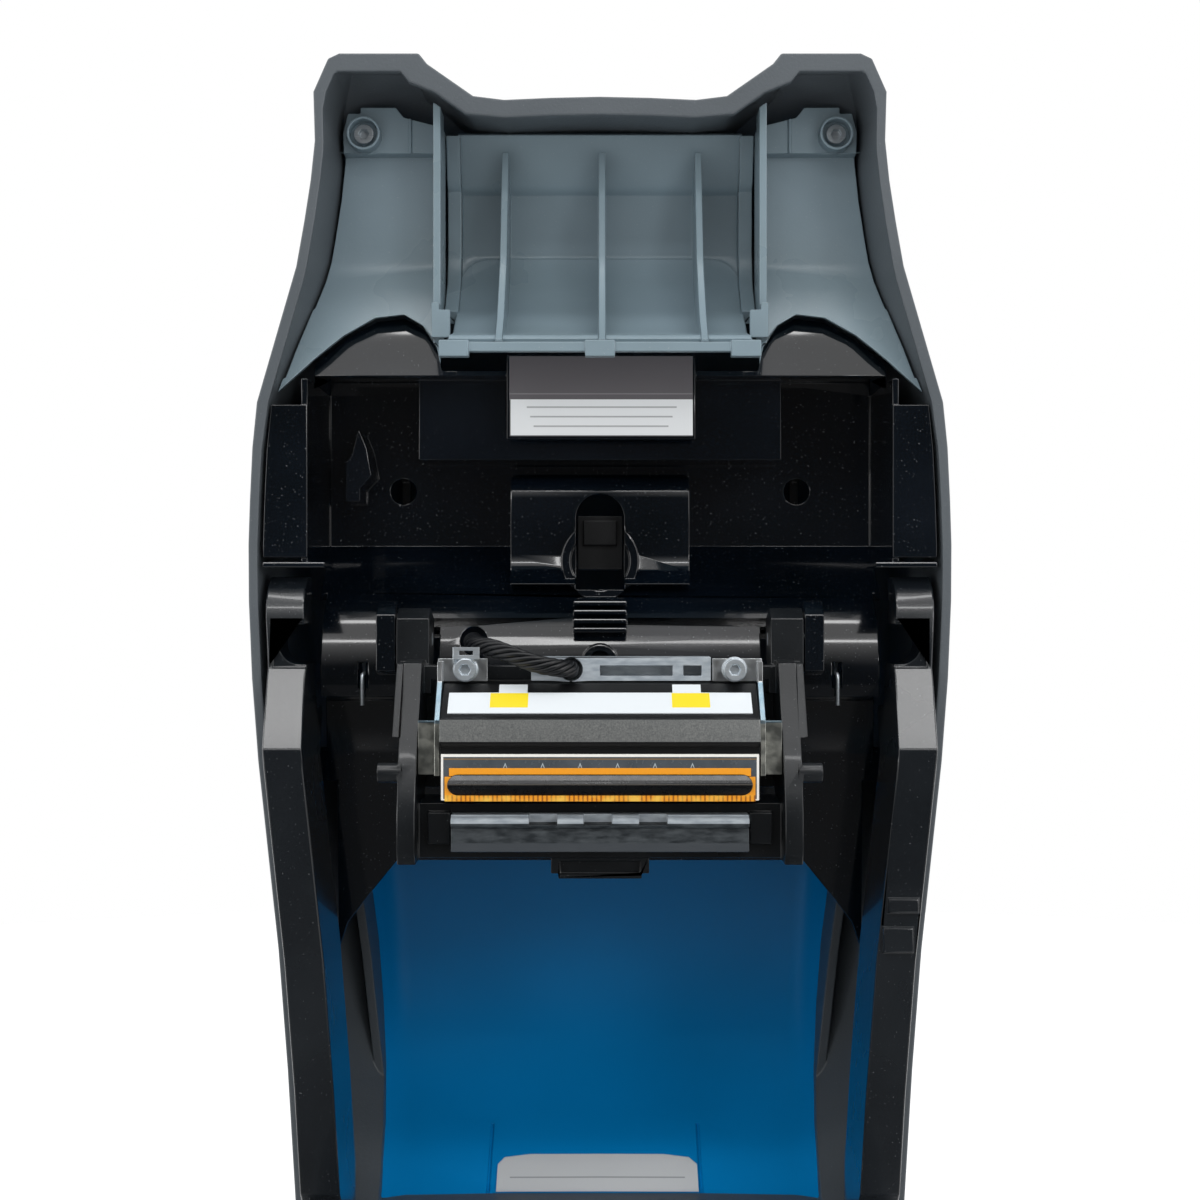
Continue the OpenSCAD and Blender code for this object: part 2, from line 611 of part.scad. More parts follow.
module head_carriage() {
    color("#1b1e21") in_lid() {
        both() carriage_arm();
        // back plate between the arms, bottom rail and finger tab
        block(-carriage_x + 4, carriage_x - 4, -3, 0, 141, 172);
        block(-carriage_x + 4, carriage_x - 4, -27, -3, 136.6, 139);
        block(-carriage_x + 4, carriage_x - 4, -27, -24, 124, 137);
        both() block(40.6, 46.6, -30.5, -26.9, 128.2, 136.8);
        difference() {
            block(-13.4, 13.4, -26, -14, 118.2, 124.1);
            both() block(11.4, 14, -27, -13, 118, 119.6);
            block(-11, 11, -27, -24.4, 119.4, 123);
        }
        // cross bar that carries the connector
        block(-carriage_x + 4, carriage_x - 4, -12, -9, 172, 176);
        both() block(carriage_x - 7.2, carriage_x - 4.9, -12, 2, 168, 176);
    }
}
module head_side_plates() {
    color("#8fa3b3") in_lid() both() {
        block(head_x + fit, head_x + 1.6, -24, -3.4, 150, 171.8);
        block(head_x + fit, head_x + 1.6, -24, -12.2, 170, 177.4);
        difference() {
            block(31, head_x + 1.6, tab_d, tab_d + 1.4, 171.9, 178.2);
            post(tab_d - 1, tab_d + 2, 1.6, head_screw_x, head_screw_z);
        }
        side(head_x + fit, head_x + 1.6) polygon([[-24, 172], [-33.4, 162], [-34, 147], [-24, 147]]);
        block(head_x + 1.6, carriage_x - 5 - fit, -30, -28.4, 147, 161.6);
    }
}
sink_line = [
    [-3.4, 171.6], [-21, 171.6], [-22, 171], [-33, 163], [-35, 162.4], [-36, 155.7], [-34.4, 154.6],
    [-34.4, 153.8], [face_d + 1.8, 153.2], [face_d + 1.8, 141], [-3.4, 141]
];
module head_heatsink() {
    color("#55585c") in_lid() difference() {
        side(-head_x, head_x) polygon(sink_line);
        // fins cut from behind
        for (i = [0 : 3]) block(-head_x - 1, head_x + 1, -22, -3, 145 + 6 * i, 147.6 + 6 * i);
    }
}
module head_plate() {
    color("#e9eaec") in_lid() block(-head_x + 0.4, head_x - 0.4, face_d, face_d + 1.7, 140.6, 153);
}
element_z = [142, 147.6];
module head_flex() {
    color("#f0a21c") in_lid() difference() {
        union() {
            block(-head_x + 1.4, head_x - 1.4, face_d - 0.4, face_d, 140.4, 142.8);
            block(-head_x + 2.6, head_x - 2.6, face_d - 0.4, face_d, 147.2, 149.3);
            block(-head_x + 1.4, -head_x + 5, face_d - 0.4, face_d, 140.4, 147);
            block(head_x - 5, head_x - 1.4, face_d - 0.4, face_d, 140.4, 147);
        }
        element2d_cut(0.02);
    }
}
module element2d_cut(g) {
    r = (element_z[1] - element_z[0]) / 2;
    plan(-60, 0) union() {
        translate([-head_x + 2.2 + r, element_z[0] + r]) circle(r + g);
        translate([head_x - 2.2 - r, element_z[0] + r]) circle(r + g);
        translate([-head_x + 2.2 + r, element_z[0] - g]) square([head_w - 4.4 - 2 * r, 2 * r + 2 * g]);
    }
}
module head_element() {
    color("#101316") in_lid() intersection() {
        element2d_cut(0);
        side(-head_x, head_x) polygon(concat(
            [[face_d - 0.02, element_z[0] - 0.1]],
            [[face_d - 1, element_z[0] + 1], [-burn_out + 0.3, burn_z - 3], [-burn_out, burn_z - 2.1]],
            [[-burn_out + 0.3, burn_z - 1.2], [face_d - 1, element_z[1] - 1], [face_d - 0.02, element_z[1] + 0.1]]
        ));
    }
}
// a flat piece of height h on the sloped face of the head, from u0 to u1 up the slope
slope_foot = [-33, 163];
slope_dir = [11, 8] / norm([11, 8]);
slope_up = [-8, 11] / norm([11, 8]);
module on_slope(x0, x1, u0, u1, h) {
    p0 = slope_foot + u0 * slope_dir + 0.03 * slope_up;
    p1 = slope_foot + u1 * slope_dir + 0.03 * slope_up;
    side(x0, x1) polygon([p0, p1, p1 + h * slope_up, p0 + h * slope_up]);
}
module head_label() {
    color("#ececee") in_lid() {
        on_slope(-41.2, 41.2, 0.9, 9.6, 0.4);
        both() on_slope(19.8, 27.6, 9.5, 13.2, 0.4);
    }
}
head_screw_x = 37;
head_screw_z = 175.2;
tab_d = -21;
module head_screws() {
    color("#cfd2d6") in_lid() {
        both() {
            post(tab_d - 0.9, tab_d - 0.05, 3.5, head_screw_x, head_screw_z);
            post(tab_d - 0.2, tab_d + 7, 1.5, head_screw_x, head_screw_z);
            difference() {
                post(tab_d - 3.9, tab_d - 0.8, 3, head_screw_x, head_screw_z);
                translate([head_screw_x, tab_d - 4.2, head_screw_z]) rotate([-90, 0, 0])
                    cylinder(h = 1.8, r = 1.7, $fn = 6);
            }
        }
        // cable clip on the left
        difference() {
            block(-40.4, -33, tab_d - 3, tab_d - 2.4, 178, 181.4);
            block(-38.6, -34.8, tab_d - 4, tab_d, 179.2, 180.4);
        }
        block(-40.4, -39.6, tab_d - 2.5, tab_d - 0.05, 176.8, 181.4);
    }
}
module head_connector() {
    color("#3a3d42") in_lid() difference() {
        block(-19, 30.6, -20.6, -12.2, 172, 178.6);
        // the cable goes in here
        post(-21, -14, cable_d / 2 + 2 * skin, -8, 175.2);
        block(0, 20, -21, -14, 173.4, 176.2);
        block(23, 28, -21, -14, 173.4, 176.2);
    }
}
module guide_bar() {
    color("#5b5f64") in_lid() difference() {
        union() {
            block(-40.2, 40.2, -33, -27.2, 126.4, 136.5);
            rod(-40.2, 40.2, 1.6, -33, 134.4);
        }
        for (x = [-15.3, -0.6, 14.3]) block(x - 3.8, x + 3.8, -36, -30.4, 133.6, 140);
    }
}

// the head cable: a route of chosen points in lid places, swept as one tube
cable_route = [
    [-37, 15, 182.4], [-37, 10, 182.4], [-36.8, 4, 182.3], [-36.4, -2, 182.2], [-35.6, -8, 181.9],
    [-34, -13.4, 181.7], [-31.6, -18, 181.4], [-28.4, -21.6, 180.7], [-24.6, -24, 179.4], [-20.4, -25.2, 177.8],
    [-16, -25.6, 176.5], [-12, -25.2, 175.8], [-9.2, -23.4, 175.4], [-8.1, -20.6, 175.2], [-8, -16, 175.2]
];
cable_sides = 10;
function dir_at(i) = let (
    a = cable_route[max(i - 1, 0)],
    b = cable_route[min(i + 1, len(cable_route) - 1)]
) (b - a) / norm(b - a);
function ring_at(i) = let (
    t = dir_at(i),
    u = cross(t, [0, 0, 1]) / norm(cross(t, [0, 0, 1])),
    v = cross(u, t)
) [
    for (k = [0 : cable_sides - 1]) let (a = 360 * k / cable_sides)
        cable_route[i] + cable_d / 2 * (u * cos(a) + v * sin(a))
];
module head_cable() {
    n = len(cable_route);
    color("#141618") in_lid() polyhedron(
        points = [for (i = [0 : n - 1]) each ring_at(i)],
        faces = concat(
            [[for (k = [cable_sides - 1 : -1 : 0]) k]],
            [[for (k = [0 : cable_sides - 1]) (n - 1) * cable_sides + k]],
            [for (i = [0 : n - 2], k = [0 : cable_sides - 1]) let (m = (k + 1) % cable_sides)
                [i * cable_sides + k, i * cable_sides + m, (i + 1) * cable_sides + m, (i + 1) * cable_sides + k]]
        )
    );
}

// ================= base =================
cover_top = base_h - 0.3;
pan_in = wall + fit;
pan_lip = 8;             // height of the pan's upstand
module base_ring(z0, z1) {
    difference() {
        base_plan(0, z0, z1);
        base_plan(wall, z0 - 1, z1 + 1);
    }
}
module lid_zone(x0, x1, a0, a1, z0, z1) { block(x0, x1, hinge_y - a1, hinge_y - a0, z0, z1); }

module base_pan() {
    color("#2a2c2f") difference() {
        union() {
            base_plan(pan_in, foot_h, floor_z);
            difference() {
                base_plan(pan_in, foot_h, floor_z + pan_lip);
                base_plan(pan_in + 2, floor_z - 1, floor_z + pan_lip + 1);
            }
        }
        for (s = screw_spots) translate([s[0], s[1], 0]) cylinder(h = 40, r = 1.6);
        for (i = [-4 : 4]) block(-24, 24, 12 * i - 2, 12 * i + 2, foot_h - 1, floor_z + 1);
    }
}
screw_x_base = frame_x - 6;
screw_ys = [front_y + 22, feed_y + 12, supply_y - 6, hinge_y - 8];
screw_spots = [for (x = [-screw_x_base, screw_x_base], y = screw_ys) [x, y]];

side_front = neck_z;     // where side covers and front cover meet
module side_cover() {
    intersection() {
        base_ring(foot_h + 0.5, cover_top);
        lid_zone(0.5, body_w, 4, side_front - fit, 0, base_h);
    }
    // ledge that the deck rests on
    intersection() {
        difference() {
            base_plan(wall - 0.2, deck_z - 5, deck_z - 3);
            base_plan(wall + 2, deck_z - 6, deck_z - 2);
        }
        lid_zone(0.5, body_w, 6, side_front - 3, 0, base_h);
    }
}
module left_side_cover() { color("#34373b") mirror([1, 0, 0]) side_cover(); }
module right_side_cover() { color("#34373b") side_cover(); }

door_x = 38;
door_z0 = base_h - 42;
door_z1 = base_h - 3;
door_axis_y = front_y + 2.3;
door_axis_z = door_z0 + 2.3;
door_pin_r = 1.2;
lever_x = frame_x + frame_t + 8;
button_x = lever_x - 10;
button_z = base_h - 15;
button_face_y = hinge_y - lid_len + 0.6;
module front_cover() {
    color("#34373b") difference() {
        union() {
            intersection() {
                base_ring(foot_h + 0.5, cover_top);
                lid_zone(-body_w, body_w, side_front, lid_len + 1, 0, base_h);
            }
            // cheeks that hold the door's pins
            both() block(door_x + 0.5, door_x + 3.6, front_y + 0.2, front_y + 7, door_axis_z - 4, door_axis_z + 4);
            // frame round the output mouth
            difference() {
                block(-36, 36, front_y + 1, front_y + 6, 26, 77);
                block(-33, 33, front_y - 9, front_y + 9, 29, 74);
            }
        }
        block(-door_x - 0.4, door_x + 0.4, front_y - 9, front_y + 6, door_z0 - 0.4, door_z1 + 0.4);
        block(-33, 33, front_y - 9, front_y + 9, 29, 74);
        rod(-door_x - 3, door_x + 3, door_pin_r + run, door_axis_y, door_axis_z);
        translate([button_x, button_face_y - 2, button_z]) rotate([-90, 0, 0]) cylinder(h = 12, r = 7 + fit);
        translate([-button_x, button_face_y - 2, button_z]) rotate([-90, 0, 0]) cylinder(h = 12, r = 5 + fit);
    }
}
module feeder_door() {
    color("#44484d") {
        difference() {
            union() {
                block(-door_x, door_x, front_y, front_y + 2.4, door_axis_z, door_z1);
                rod(-door_x, door_x, 2.3, door_axis_y, door_axis_z);
                rod(-door_x - 2.8, door_x + 2.8, door_pin_r, door_axis_y, door_axis_z);
                // finger grip
                block(-14, 14, front_y - 2.6, front_y, door_z1 - 4, door_z1 - 1);
            }
            block(-30, 30, front_y + 1.6, front_y + 4, door_axis_z + 5, door_z1 - 5);
        }
    }
}

deck_z = base_h - 24;
module rear_cover() {
    color("#34373b") difference() {
        union() {
            intersection() {
                base_ring(foot_h + 0.5, cover_top);
                lid_zone(-body_w, body_w, -rear_reach - 1, 4 - fit, 0, base_h);
            }
            // top deck behind the hinge
            intersection() {
                base_plan(1, cover_top - 2.4, cover_top);
                lid_zone(-body_w, body_w, -rear_reach - 1, -lug_r - 2.2, 0, base_h);
            }
        }
        // fan grille
        for (i = [-4 : 4]) {
            block(fan_x - 17, fan_x + 17, rear_y - 6, rear_y + 1, fan_z + 4 * i - 1.1, fan_z + 4 * i + 1.1);
        }
        // openings for the ports and the rocker
        for (p = ports) let (half = p[1] / 2 + fit) {
            block(p[0] - half, p[0] + half, rear_y - 6, rear_y + 1, p[2] - fit, p[2] + p[3] + fit);
        }
        block(rocker_x - 7.2, rocker_x + 7.2, rear_y - 6, rear_y + 1, rocker_z - 10.2, rocker_z + 10.2);
    }
}
fan_x = 30;
fan_z = 84;
fan_w = 40;
fan_t = 10;
// middle x, width, lowest z and height of each rear port
ports = [[-34, 12, 20, 11], [-8, 12.2, 20, 11], [16, 16, 20, 13.6]];
rocker_x = -36;
rocker_z = 62;
module rear_ports() {
    color("#202225") for (p = ports) difference() {
        block(p[0] - p[1] / 2, p[0] + p[1] / 2, rear_y - 18, rear_y - 0.4, p[2], p[2] + p[3]);
        if (p[0] < -20) translate([p[0], rear_y - 10, p[2] + p[3] / 2]) rotate([-90, 0, 0]) cylinder(h = 12, r = 3);
        if (p[0] > -20) let (half = p[1] / 2 - 1.4) {
            block(p[0] - half, p[0] + half, rear_y - 12, rear_y + 1, p[2] + 1.6, p[2] + p[3] - 1.6);
        }
    }
    // housing of the power rocker
    color("#202225") difference() {
        block(rocker_x - 9, rocker_x + 9, rear_y - 14, rear_y - wall - 0.05, rocker_z - 12, rocker_z + 12);
        block(rocker_x - 7, rocker_x + 7, rear_y - 12, rear_y, rocker_z - 10.2, rocker_z + 10.2);
        rod(rocker_x - 8, rocker_x + 8, rocker_pin_r + run, rocker_axis_y, rocker_z);
    }
    // the small board that carries them
    color("#1d5a38") block(-44, 28, rear_y - 22, rear_y - 4, 18.2, 19.9);
    color("#202225") both() block(18, 22, rear_y - 14, rear_y - 8, floor_z + 0.1, 18.1);
}
rocker_pin_r = 1.2;
rocker_axis_y = rear_y - 4.1;
module power_rocker() {
    color("#17191b") rod(rocker_x - 7.6, rocker_x + 7.6, rocker_pin_r, rocker_axis_y, rocker_z);
    color("#17191b") intersection() {
        block(rocker_x - 6.8, rocker_x + 6.8, rear_y - 7, rear_y - 0.2, rocker_z - 9.2, rocker_z + 9.2);
        side(rocker_x - 7, rocker_x + 7) polygon([
            [rear_y - 5, rocker_z - 9.2], [rear_y - 0.2, rocker_z - 8.8], [rear_y - 2, rocker_z],
            [rear_y - 2.6, rocker_z + 9.2], [rear_y - 5, rocker_z + 9.2]
        ]);
    }
}
fan_y = rear_y - wall - fan_t - 0.3;
module fan_housing() {
    color("#1a1c1e") difference() {
        block(fan_x - fan_w / 2, fan_x + fan_w / 2, fan_y, fan_y + fan_t, fan_z - fan_w / 2, fan_z + fan_w / 2);
        translate([fan_x, fan_y - 1, fan_z]) rotate([-90, 0, 0]) cylinder(h = fan_t - 1, r = 19);
        difference() {
            translate([fan_x, fan_y - 1, fan_z]) rotate([-90, 0, 0]) cylinder(h = fan_t + 2, r = 18.4);
            translate([fan_x, fan_y - 1, fan_z]) rotate([-90, 0, 0]) cylinder(h = fan_t + 2, r = 8);
            block(fan_x - 1.5, fan_x + 1.5, fan_y - 1, fan_y + fan_t + 1, fan_z - 20, fan_z + 20);
            block(fan_x - 20, fan_x + 20, fan_y - 1, fan_y + fan_t + 1, fan_z - 1.5, fan_z + 1.5);
        }
        translate([fan_x, fan_y - 1, fan_z]) rotate([-90, 0, 0]) cylinder(h = fan_t - 1, r = 17.6);
        translate([fan_x, fan_y - 1, fan_z]) rotate([-90, 0, 0]) cylinder(h = fan_t - 0.6, r = 1.5 + run);
    }
}
module fan_rotor() {
    color("#26292c") translate([fan_x, fan_y, fan_z]) rotate([-90, 0, 0]) {
        translate([0, 0, 0.4]) cylinder(h = 7, r = 7.4);
        translate([0, 0, 7.2]) cylinder(h = 1.1, r = 1.5);
        for (i = [0 : 6]) {
            rotate([0, 0, i * 360 / 7]) translate([7, -0.6, 1]) rotate([28, 0, 0]) cube([10, 1.2, 6]);
        }
    }
}

hinge_lug = lug_r;
frame_front = front_y + 12;
frame_line = [
    [frame_front, floor_z + 0.1], [hinge_y + lug_r, floor_z + 0.1], [hinge_y + lug_r, base_h],
    [hinge_y - lug_r, base_h], [hinge_y - lug_r - 2, base_h - 5], [supply_y + 26, base_h - 8],
    [supply_y + 14, base_h - 5], [supply_y - 14, base_h - 5], [supply_y - 24, base_h - 27],
    [platen_y + 12, base_h - 31], [platen_y - 14, base_h - 31], [takeup_y + 26, base_h - 27],
    [takeup_y + 13, base_h - 2.4], [takeup_y - 13, base_h - 2.4], [takeup_y - 24, base_h - 24],
    [frame_front, base_h - 28]
];
module side_frame() {
    difference() {
        union() {
            side(frame_x, frame_x + frame_t) polygon(frame_line);
            rod(frame_x - 3, frame_x + frame_t, hinge_lug, hinge_y, base_h);
            // foot flange with the chassis screws' seats
            block(frame_x - 12, frame_x + 0.1, frame_front, hinge_y + 6, floor_z + 0.1, floor_z + 2.1);
        }
        rod(0, 99, hinge_pin_d / 2 + run / 2, hinge_y, base_h);
        for (y = [platen_y, feed_y, pick_y]) rod(0, 99, shaft_r + run, y, axis_z);
        rod(0, 99, pinch_shaft_r + run, feed_y, pinch_z);
        rod(0, 99, shaft_r + run, takeup_y, takeup_z);
        rod(0, 99, shaft_r + run, supply_y, supply_z);
        rod(0, 99, latch_r + run, latch_y, latch_axis_z);
        for (s = screw_spots) translate([abs(s[0]), s[1], 0]) cylinder(h = 40, r = 1.6);
        // lightening windows
        for (y = [pick_y - 24, feed_y - 10, platen_y - 46]) {
            block(frame_x - 1, frame_x + 9, y - 14, y + 14, 22, axis_z - 26);
        }
        block(frame_x - 1, frame_x + 9, supply_y - 26, supply_y + 40, 22, axis_z - 20);
    }
}
module left_frame() {
    color("#9da2a6") difference() {
        mirror([1, 0, 0]) side_frame();
        rod(-99, 0, pinion_r + 1.2, motor_y, motor_z);
    }
}
module right_frame() {
    color("#9da2a6") side_frame();
}

// decks beside the frames, under the lid arms
module side_deck() {
    difference() {
        intersection() {
            base_plan(pan_in, deck_z - 3, deck_z - 1);
            lid_zone(frame_x + frame_t + fit, body_w, 8, side_front - 4, 0, base_h);
        }
        // slots for the hooks and the lever
        block(pocket_x - arm_w + 5.1, half_w(latch_z), latch_y - 12, latch_y + 12, deck_z - 9, deck_z + 9);
        block(lever_x - 5, lever_x + 5, latch_y - 12, latch_y + 12, deck_z - 9, deck_z + 9);
    }
}
module side_decks() {
    color("#23262a") {
        difference() {
            mirror([1, 0, 0]) side_deck();
            block(-body_w, -frame_x - 1, takeup_y - 12, takeup_y + 12, deck_z - 9, base_h);
        }
        side_deck();
    }
}

wall_h = 2;
module roller_slot(y) {
    block(-roller_w / 2 - 1, roller_w / 2 + 1, y - roller_r - 0.8, y + roller_r + 0.8, card_z - 9, card_z + 3);
}
hopper_back = pick_y + 22;
module card_hopper() {
    color("#2b2e32") difference() {
        union() {
            block(-hopper_w / 2, hopper_w / 2, frame_front, hopper_back, card_z - 2.6, card_z - 0.4);
            both() block(hopper_w / 2 - 2, hopper_w / 2, frame_front, hopper_back, card_z - 2.6, card_z + 21);
            block(-hopper_w / 2, hopper_w / 2, hopper_back - wall_h, hopper_back, card_z + 1.2, card_z + 21);
            // ears to the frames
            for (y = [frame_front + 4, hopper_back - 10])
                both() block(hopper_w / 2 - 0.1, frame_x - 0.1, y, y + 6, card_z - 2.6, card_z - 0.4);
        }
        roller_slot(pick_y);
        // thumb notch in the side walls
        block(-99, 99, frame_front + 22, frame_front + 48, card_z + 12, card_z + 40);
    }
}
track_low = card_z - 2.6;
track_high = card_z + 1.4;
module card_track() {
    color("#24272a") difference() {
        union() {
            block(-hopper_w / 2, hopper_w / 2, hopper_back + fit, supply_y - 4, card_z - 2.6, card_z - 0.4);
            both() block(hopper_w / 2 - 2, hopper_w / 2, hopper_back + fit, platen_y - 30, track_low, track_high);
            both() block(hopper_w / 2 - 2, hopper_w / 2, platen_y + 34, supply_y - 4, track_low, track_high);
            for (y = [feed_y + 20, supply_y - 16])
                both() block(hopper_w / 2 - 0.1, frame_x - 0.1, y, y + 6, card_z - 2.6, card_z - 0.4);
        }
        roller_slot(feed_y);
        roller_slot(platen_y);
    }
}
module output_tray() {
    color("#2b2e32") {
        side(-hopper_w / 2, hopper_w / 2) polygon([
            [front_y + 9.4, 29.2], [front_y + 96, 38], [front_y + 96, 66], [front_y + 94, 66],
            [front_y + 94, 40], [front_y + 9.4, 31.4]
        ]);
        both() block(hopper_w / 2, hopper_w / 2 + 1.6, front_y + 9.4, front_y + 96, 29.2, 66);
        for (y = [frame_front + 6, front_y + 80])
            both() block(hopper_w / 2 + 1.5, frame_x - 0.1, y, y + 5, 44, 46);
    }
}

// ---- rollers, gears and belt
module plain_roller(y, x0, x1) {
    rod(x0, x1, shaft_r, y, axis_z);
    rod(-roller_w / 2, roller_w / 2, roller_r, y, axis_z);
}
shaft_end = frame_x + frame_t + 2;
gear_x = -(frame_x + frame_t);
belt_x0 = gear_x - 14.4;
belt_w = 6;
module platen_roller() { color("#26282a") plain_roller(platen_y, belt_x0 - 1, shaft_end); }
module feed_roller() { color("#26282a") plain_roller(feed_y, belt_x0 - 1, shaft_end); }
module pick_roller() { color("#26282a") plain_roller(pick_y, belt_x0 - 1, shaft_end); }

gear_m = 0.8;
gear_teeth = 40;
pinion_teeth = 12;
gear_r = gear_m * gear_teeth / 2;
pinion_r = gear_m * pinion_teeth / 2;
mesh_angle = -45;
mesh_dist = gear_r + pinion_r + 0.08;
motor_y = platen_y + mesh_dist * cos(mesh_angle);
motor_z = axis_z + mesh_dist * sin(mesh_angle);
motor_r = 17;
// one tooth of a spur gear, drawn with a little backlash
function tooth(r, m) = [
    [r - 1.15 * m, 1.02], [r - 0.5 * m, 0.86], [r, 0.68], [r + 0.5 * m, 0.5], [r + 0.85 * m, 0.34]
];
function gear_points(m, n, turn) = [
    for (i = [0 : n - 1]) let (c = turn + 360 * i / n, r = m * n / 2) each concat(
        [for (p = tooth(r, m)) let (a = c - p[1] * m / p[0] * 180 / PI) p[0] * [cos(a), sin(a)]],
        [for (k = [4 : -1 : 0]) let (p = tooth(r, m)[k], a = c + p[1] * m / p[0] * 180 / PI) p[0] * [cos(a), sin(a)]]
    )
];
module spur(x0, x1, m, n, turn, y, z) {
    translate([0, y, z]) side(x0, x1) polygon(gear_points(m, n, turn));
}
module belt_pulley(y) {
    rod(belt_x0 - 0.7, belt_x0 + belt_w + 0.7, roller_r - 0.6, y, axis_z);
    rod(belt_x0 - 0.8, belt_x0 - 0.2, roller_r + 1.6, y, axis_z);
    rod(belt_x0 + belt_w + 0.2, belt_x0 + belt_w + 0.8, roller_r + 1.6, y, axis_z);
}
module platen_gear() {
    color("#d8d5c8") difference() {
        union() {
            spur(gear_x - 6.4, gear_x - 1.2, gear_m, gear_teeth, mesh_angle, platen_y, axis_z);
            belt_pulley(platen_y);
        }
        rod(-99, 0, shaft_r + 0.02, platen_y, axis_z);
    }
}
module feed_pulley() {
    color("#d8d5c8") difference() {
        belt_pulley(feed_y);
        rod(-99, 0, shaft_r + 0.02, feed_y, axis_z);
    }
}
module pick_pulley() {
    color("#d8d5c8") difference() {
        belt_pulley(pick_y);
        rod(-99, 0, shaft_r + 0.02, pick_y, axis_z);
    }
}
module motor_pinion() {
    color("#c2a25a") {
        spur(gear_x - 6.4, gear_x - 1.2, gear_m, pinion_teeth, mesh_angle + 180 + 180 / pinion_teeth, motor_y, motor_z);
        rod(gear_x - 1.3, -frame_x + 0.6, 1.5, motor_y, motor_z);
    }
}
module drive_motor() {
    color("#b5b8bb") difference() {
        union() {
            rod(-frame_x + 0.1, -frame_x + 24, motor_r, motor_y, motor_z);
            rod(-frame_x + 24, -frame_x + 26, 6, motor_y, motor_z);
        }
        rod(-frame_x - 1, -frame_x + 2, 1.5 + run, motor_y, motor_z);
    }
}
module stadium(r) {
    translate([pick_y, axis_z]) circle(r);
    translate([platen_y, axis_z]) circle(r);
    translate([pick_y, axis_z - r]) square([platen_y - pick_y, 2 * r]);
}
module drive_belt() {
    color("#151617") side(belt_x0, belt_x0 + belt_w) difference() {
        stadium(roller_r + 0.8);
        stadium(roller_r - 0.4);
    }
}
pinch_r = 5;
pinch_shaft_r = 2;
pinch_z = card_z + 0.9 + pinch_r;
module pinch_roller() {
    color("#4a4d50") {
        rod(-20, 20, pinch_r, feed_y, pinch_z);
        rod(-shaft_end, shaft_end, pinch_shaft_r, feed_y, pinch_z);
    }
}

hub_r = 9;
module spindle(y, z, x_out) {
    rod(-frame_x + 0.3, -frame_x + 2, hub_r + 4, y, z);
    rod(-frame_x + 2, -frame_x + 11, hub_r - 1.5, y, z);
    rod(x_out, -frame_x + 0.4, shaft_r, y, z);
    for (a = [0, 120, 240]) {
        translate([-frame_x + 2, y, z]) rotate([a, 0, 0]) translate([0, -1, 0]) cube([8, 2, hub_r]);
    }
}
module takeup_spindle() { color("#d8d5c8") spindle(takeup_y, takeup_z, gear_x - 1.6); }
module supply_spindle() { color("#d8d5c8") spindle(supply_y, supply_z, gear_x - 3); }
module ribbon_motor() {
    color("#b5b8bb") {
        rod(gear_x - 22, gear_x - 2, 9.6, takeup_y, takeup_z);
        difference() {
            block(gear_x - 2, gear_x - 0.2, takeup_y - 12, takeup_y + 12, takeup_z - 11, takeup_z + 8);
            rod(gear_x - 1.8, gear_x + 1, shaft_r + run, takeup_y, takeup_z);
        }
    }
}

// ---- latch, buttons, board, feet and fasteners
latch_y = hinge_y - latch_z;
latch_axis_z = axis_z;
latch_r = 3;
hook_x = half_w(latch_z) - arm_in - 8.6;
module latch_bar() {
    color("#3b3f43") {
        rod(-hook_x - 2, hook_x + 2, latch_r, latch_y, latch_axis_z);
        both() side(hook_x - 2, hook_x + 2) polygon([
            [latch_y - 5, latch_axis_z - 5], [latch_y + 5, latch_axis_z - 5], [latch_y + 2, latch_axis_z + 12],
            [latch_y + 2, base_h + 4], [latch_y + 1, base_h + 8], [latch_y - 4, base_h + 5],
            [latch_y - 4, base_h + 3], [latch_y - 2, base_h + 2.6], [latch_y - 2, latch_axis_z + 12]
        ]);
        side(lever_x - 2, lever_x + 2) polygon([
            [latch_y - 5, latch_axis_z - 5], [latch_y + 5, latch_axis_z - 5], [latch_y + 2, button_z + 4],
            [latch_y - 2, button_z + 4]
        ]);
    }
}
module release_button() {
    color("#8a8f94") {
        translate([button_x, button_face_y, button_z]) rotate([-90, 0, 0]) cylinder(h = 9, r = 7);
        block(button_x - 2, lever_x + 2, button_face_y + 8, button_face_y + 11, button_z - 2, button_z + 2);
        block(lever_x - 2, lever_x + 2, button_face_y + 10, latch_y - 2.7, button_z - 2, button_z + 2);
    }
}
module control_button() {
    color("#5d6368") {
        translate([-button_x, button_face_y, button_z]) rotate([-90, 0, 0]) cylinder(h = 7, r = 5);
        translate([-button_x, button_face_y + 6.9, button_z]) rotate([-90, 0, 0]) cylinder(h = 1.2, r = 6.4);
    }
}
board_x = frame_x + frame_t + 12;
module main_board() {
    x0 = board_x;
    color("#1d5a38") {
        block(x0, x0 + 1.6, platen_y - 50, supply_y + 16, 15, axis_z - 8);
        for (y = [platen_y - 44, supply_y + 10], z = [19, axis_z - 12]) {
            rod(frame_x + frame_t + 0.05, x0, 2.6, y, z);
        }
        block(x0 - 7, x0, platen_y - 30, platen_y - 12, 32, 50);
        block(x0 - 4, x0, platen_y + 6, platen_y + 26, 30, 50);
        block(x0 - 6, x0, supply_y - 20, supply_y - 6, 26, 54);
        for (i = [0 : 3]) rod(x0 - 8, x0, 3.4, platen_y - 36 + 12 * i, 60);
    }
}
foot_x = screw_x_base - foot_r - 4;     // the feet lie inside the heads of the chassis screws
foot_spots = [for (x = [-foot_x, foot_x], y = [front_y + 30, hinge_y - 14]) [x, y]];
module feet() {
    color("#1c1d1e") for (s = foot_spots) translate([s[0], s[1], 0]) {
        cylinder(h = foot_h, r = foot_r);
    }
}
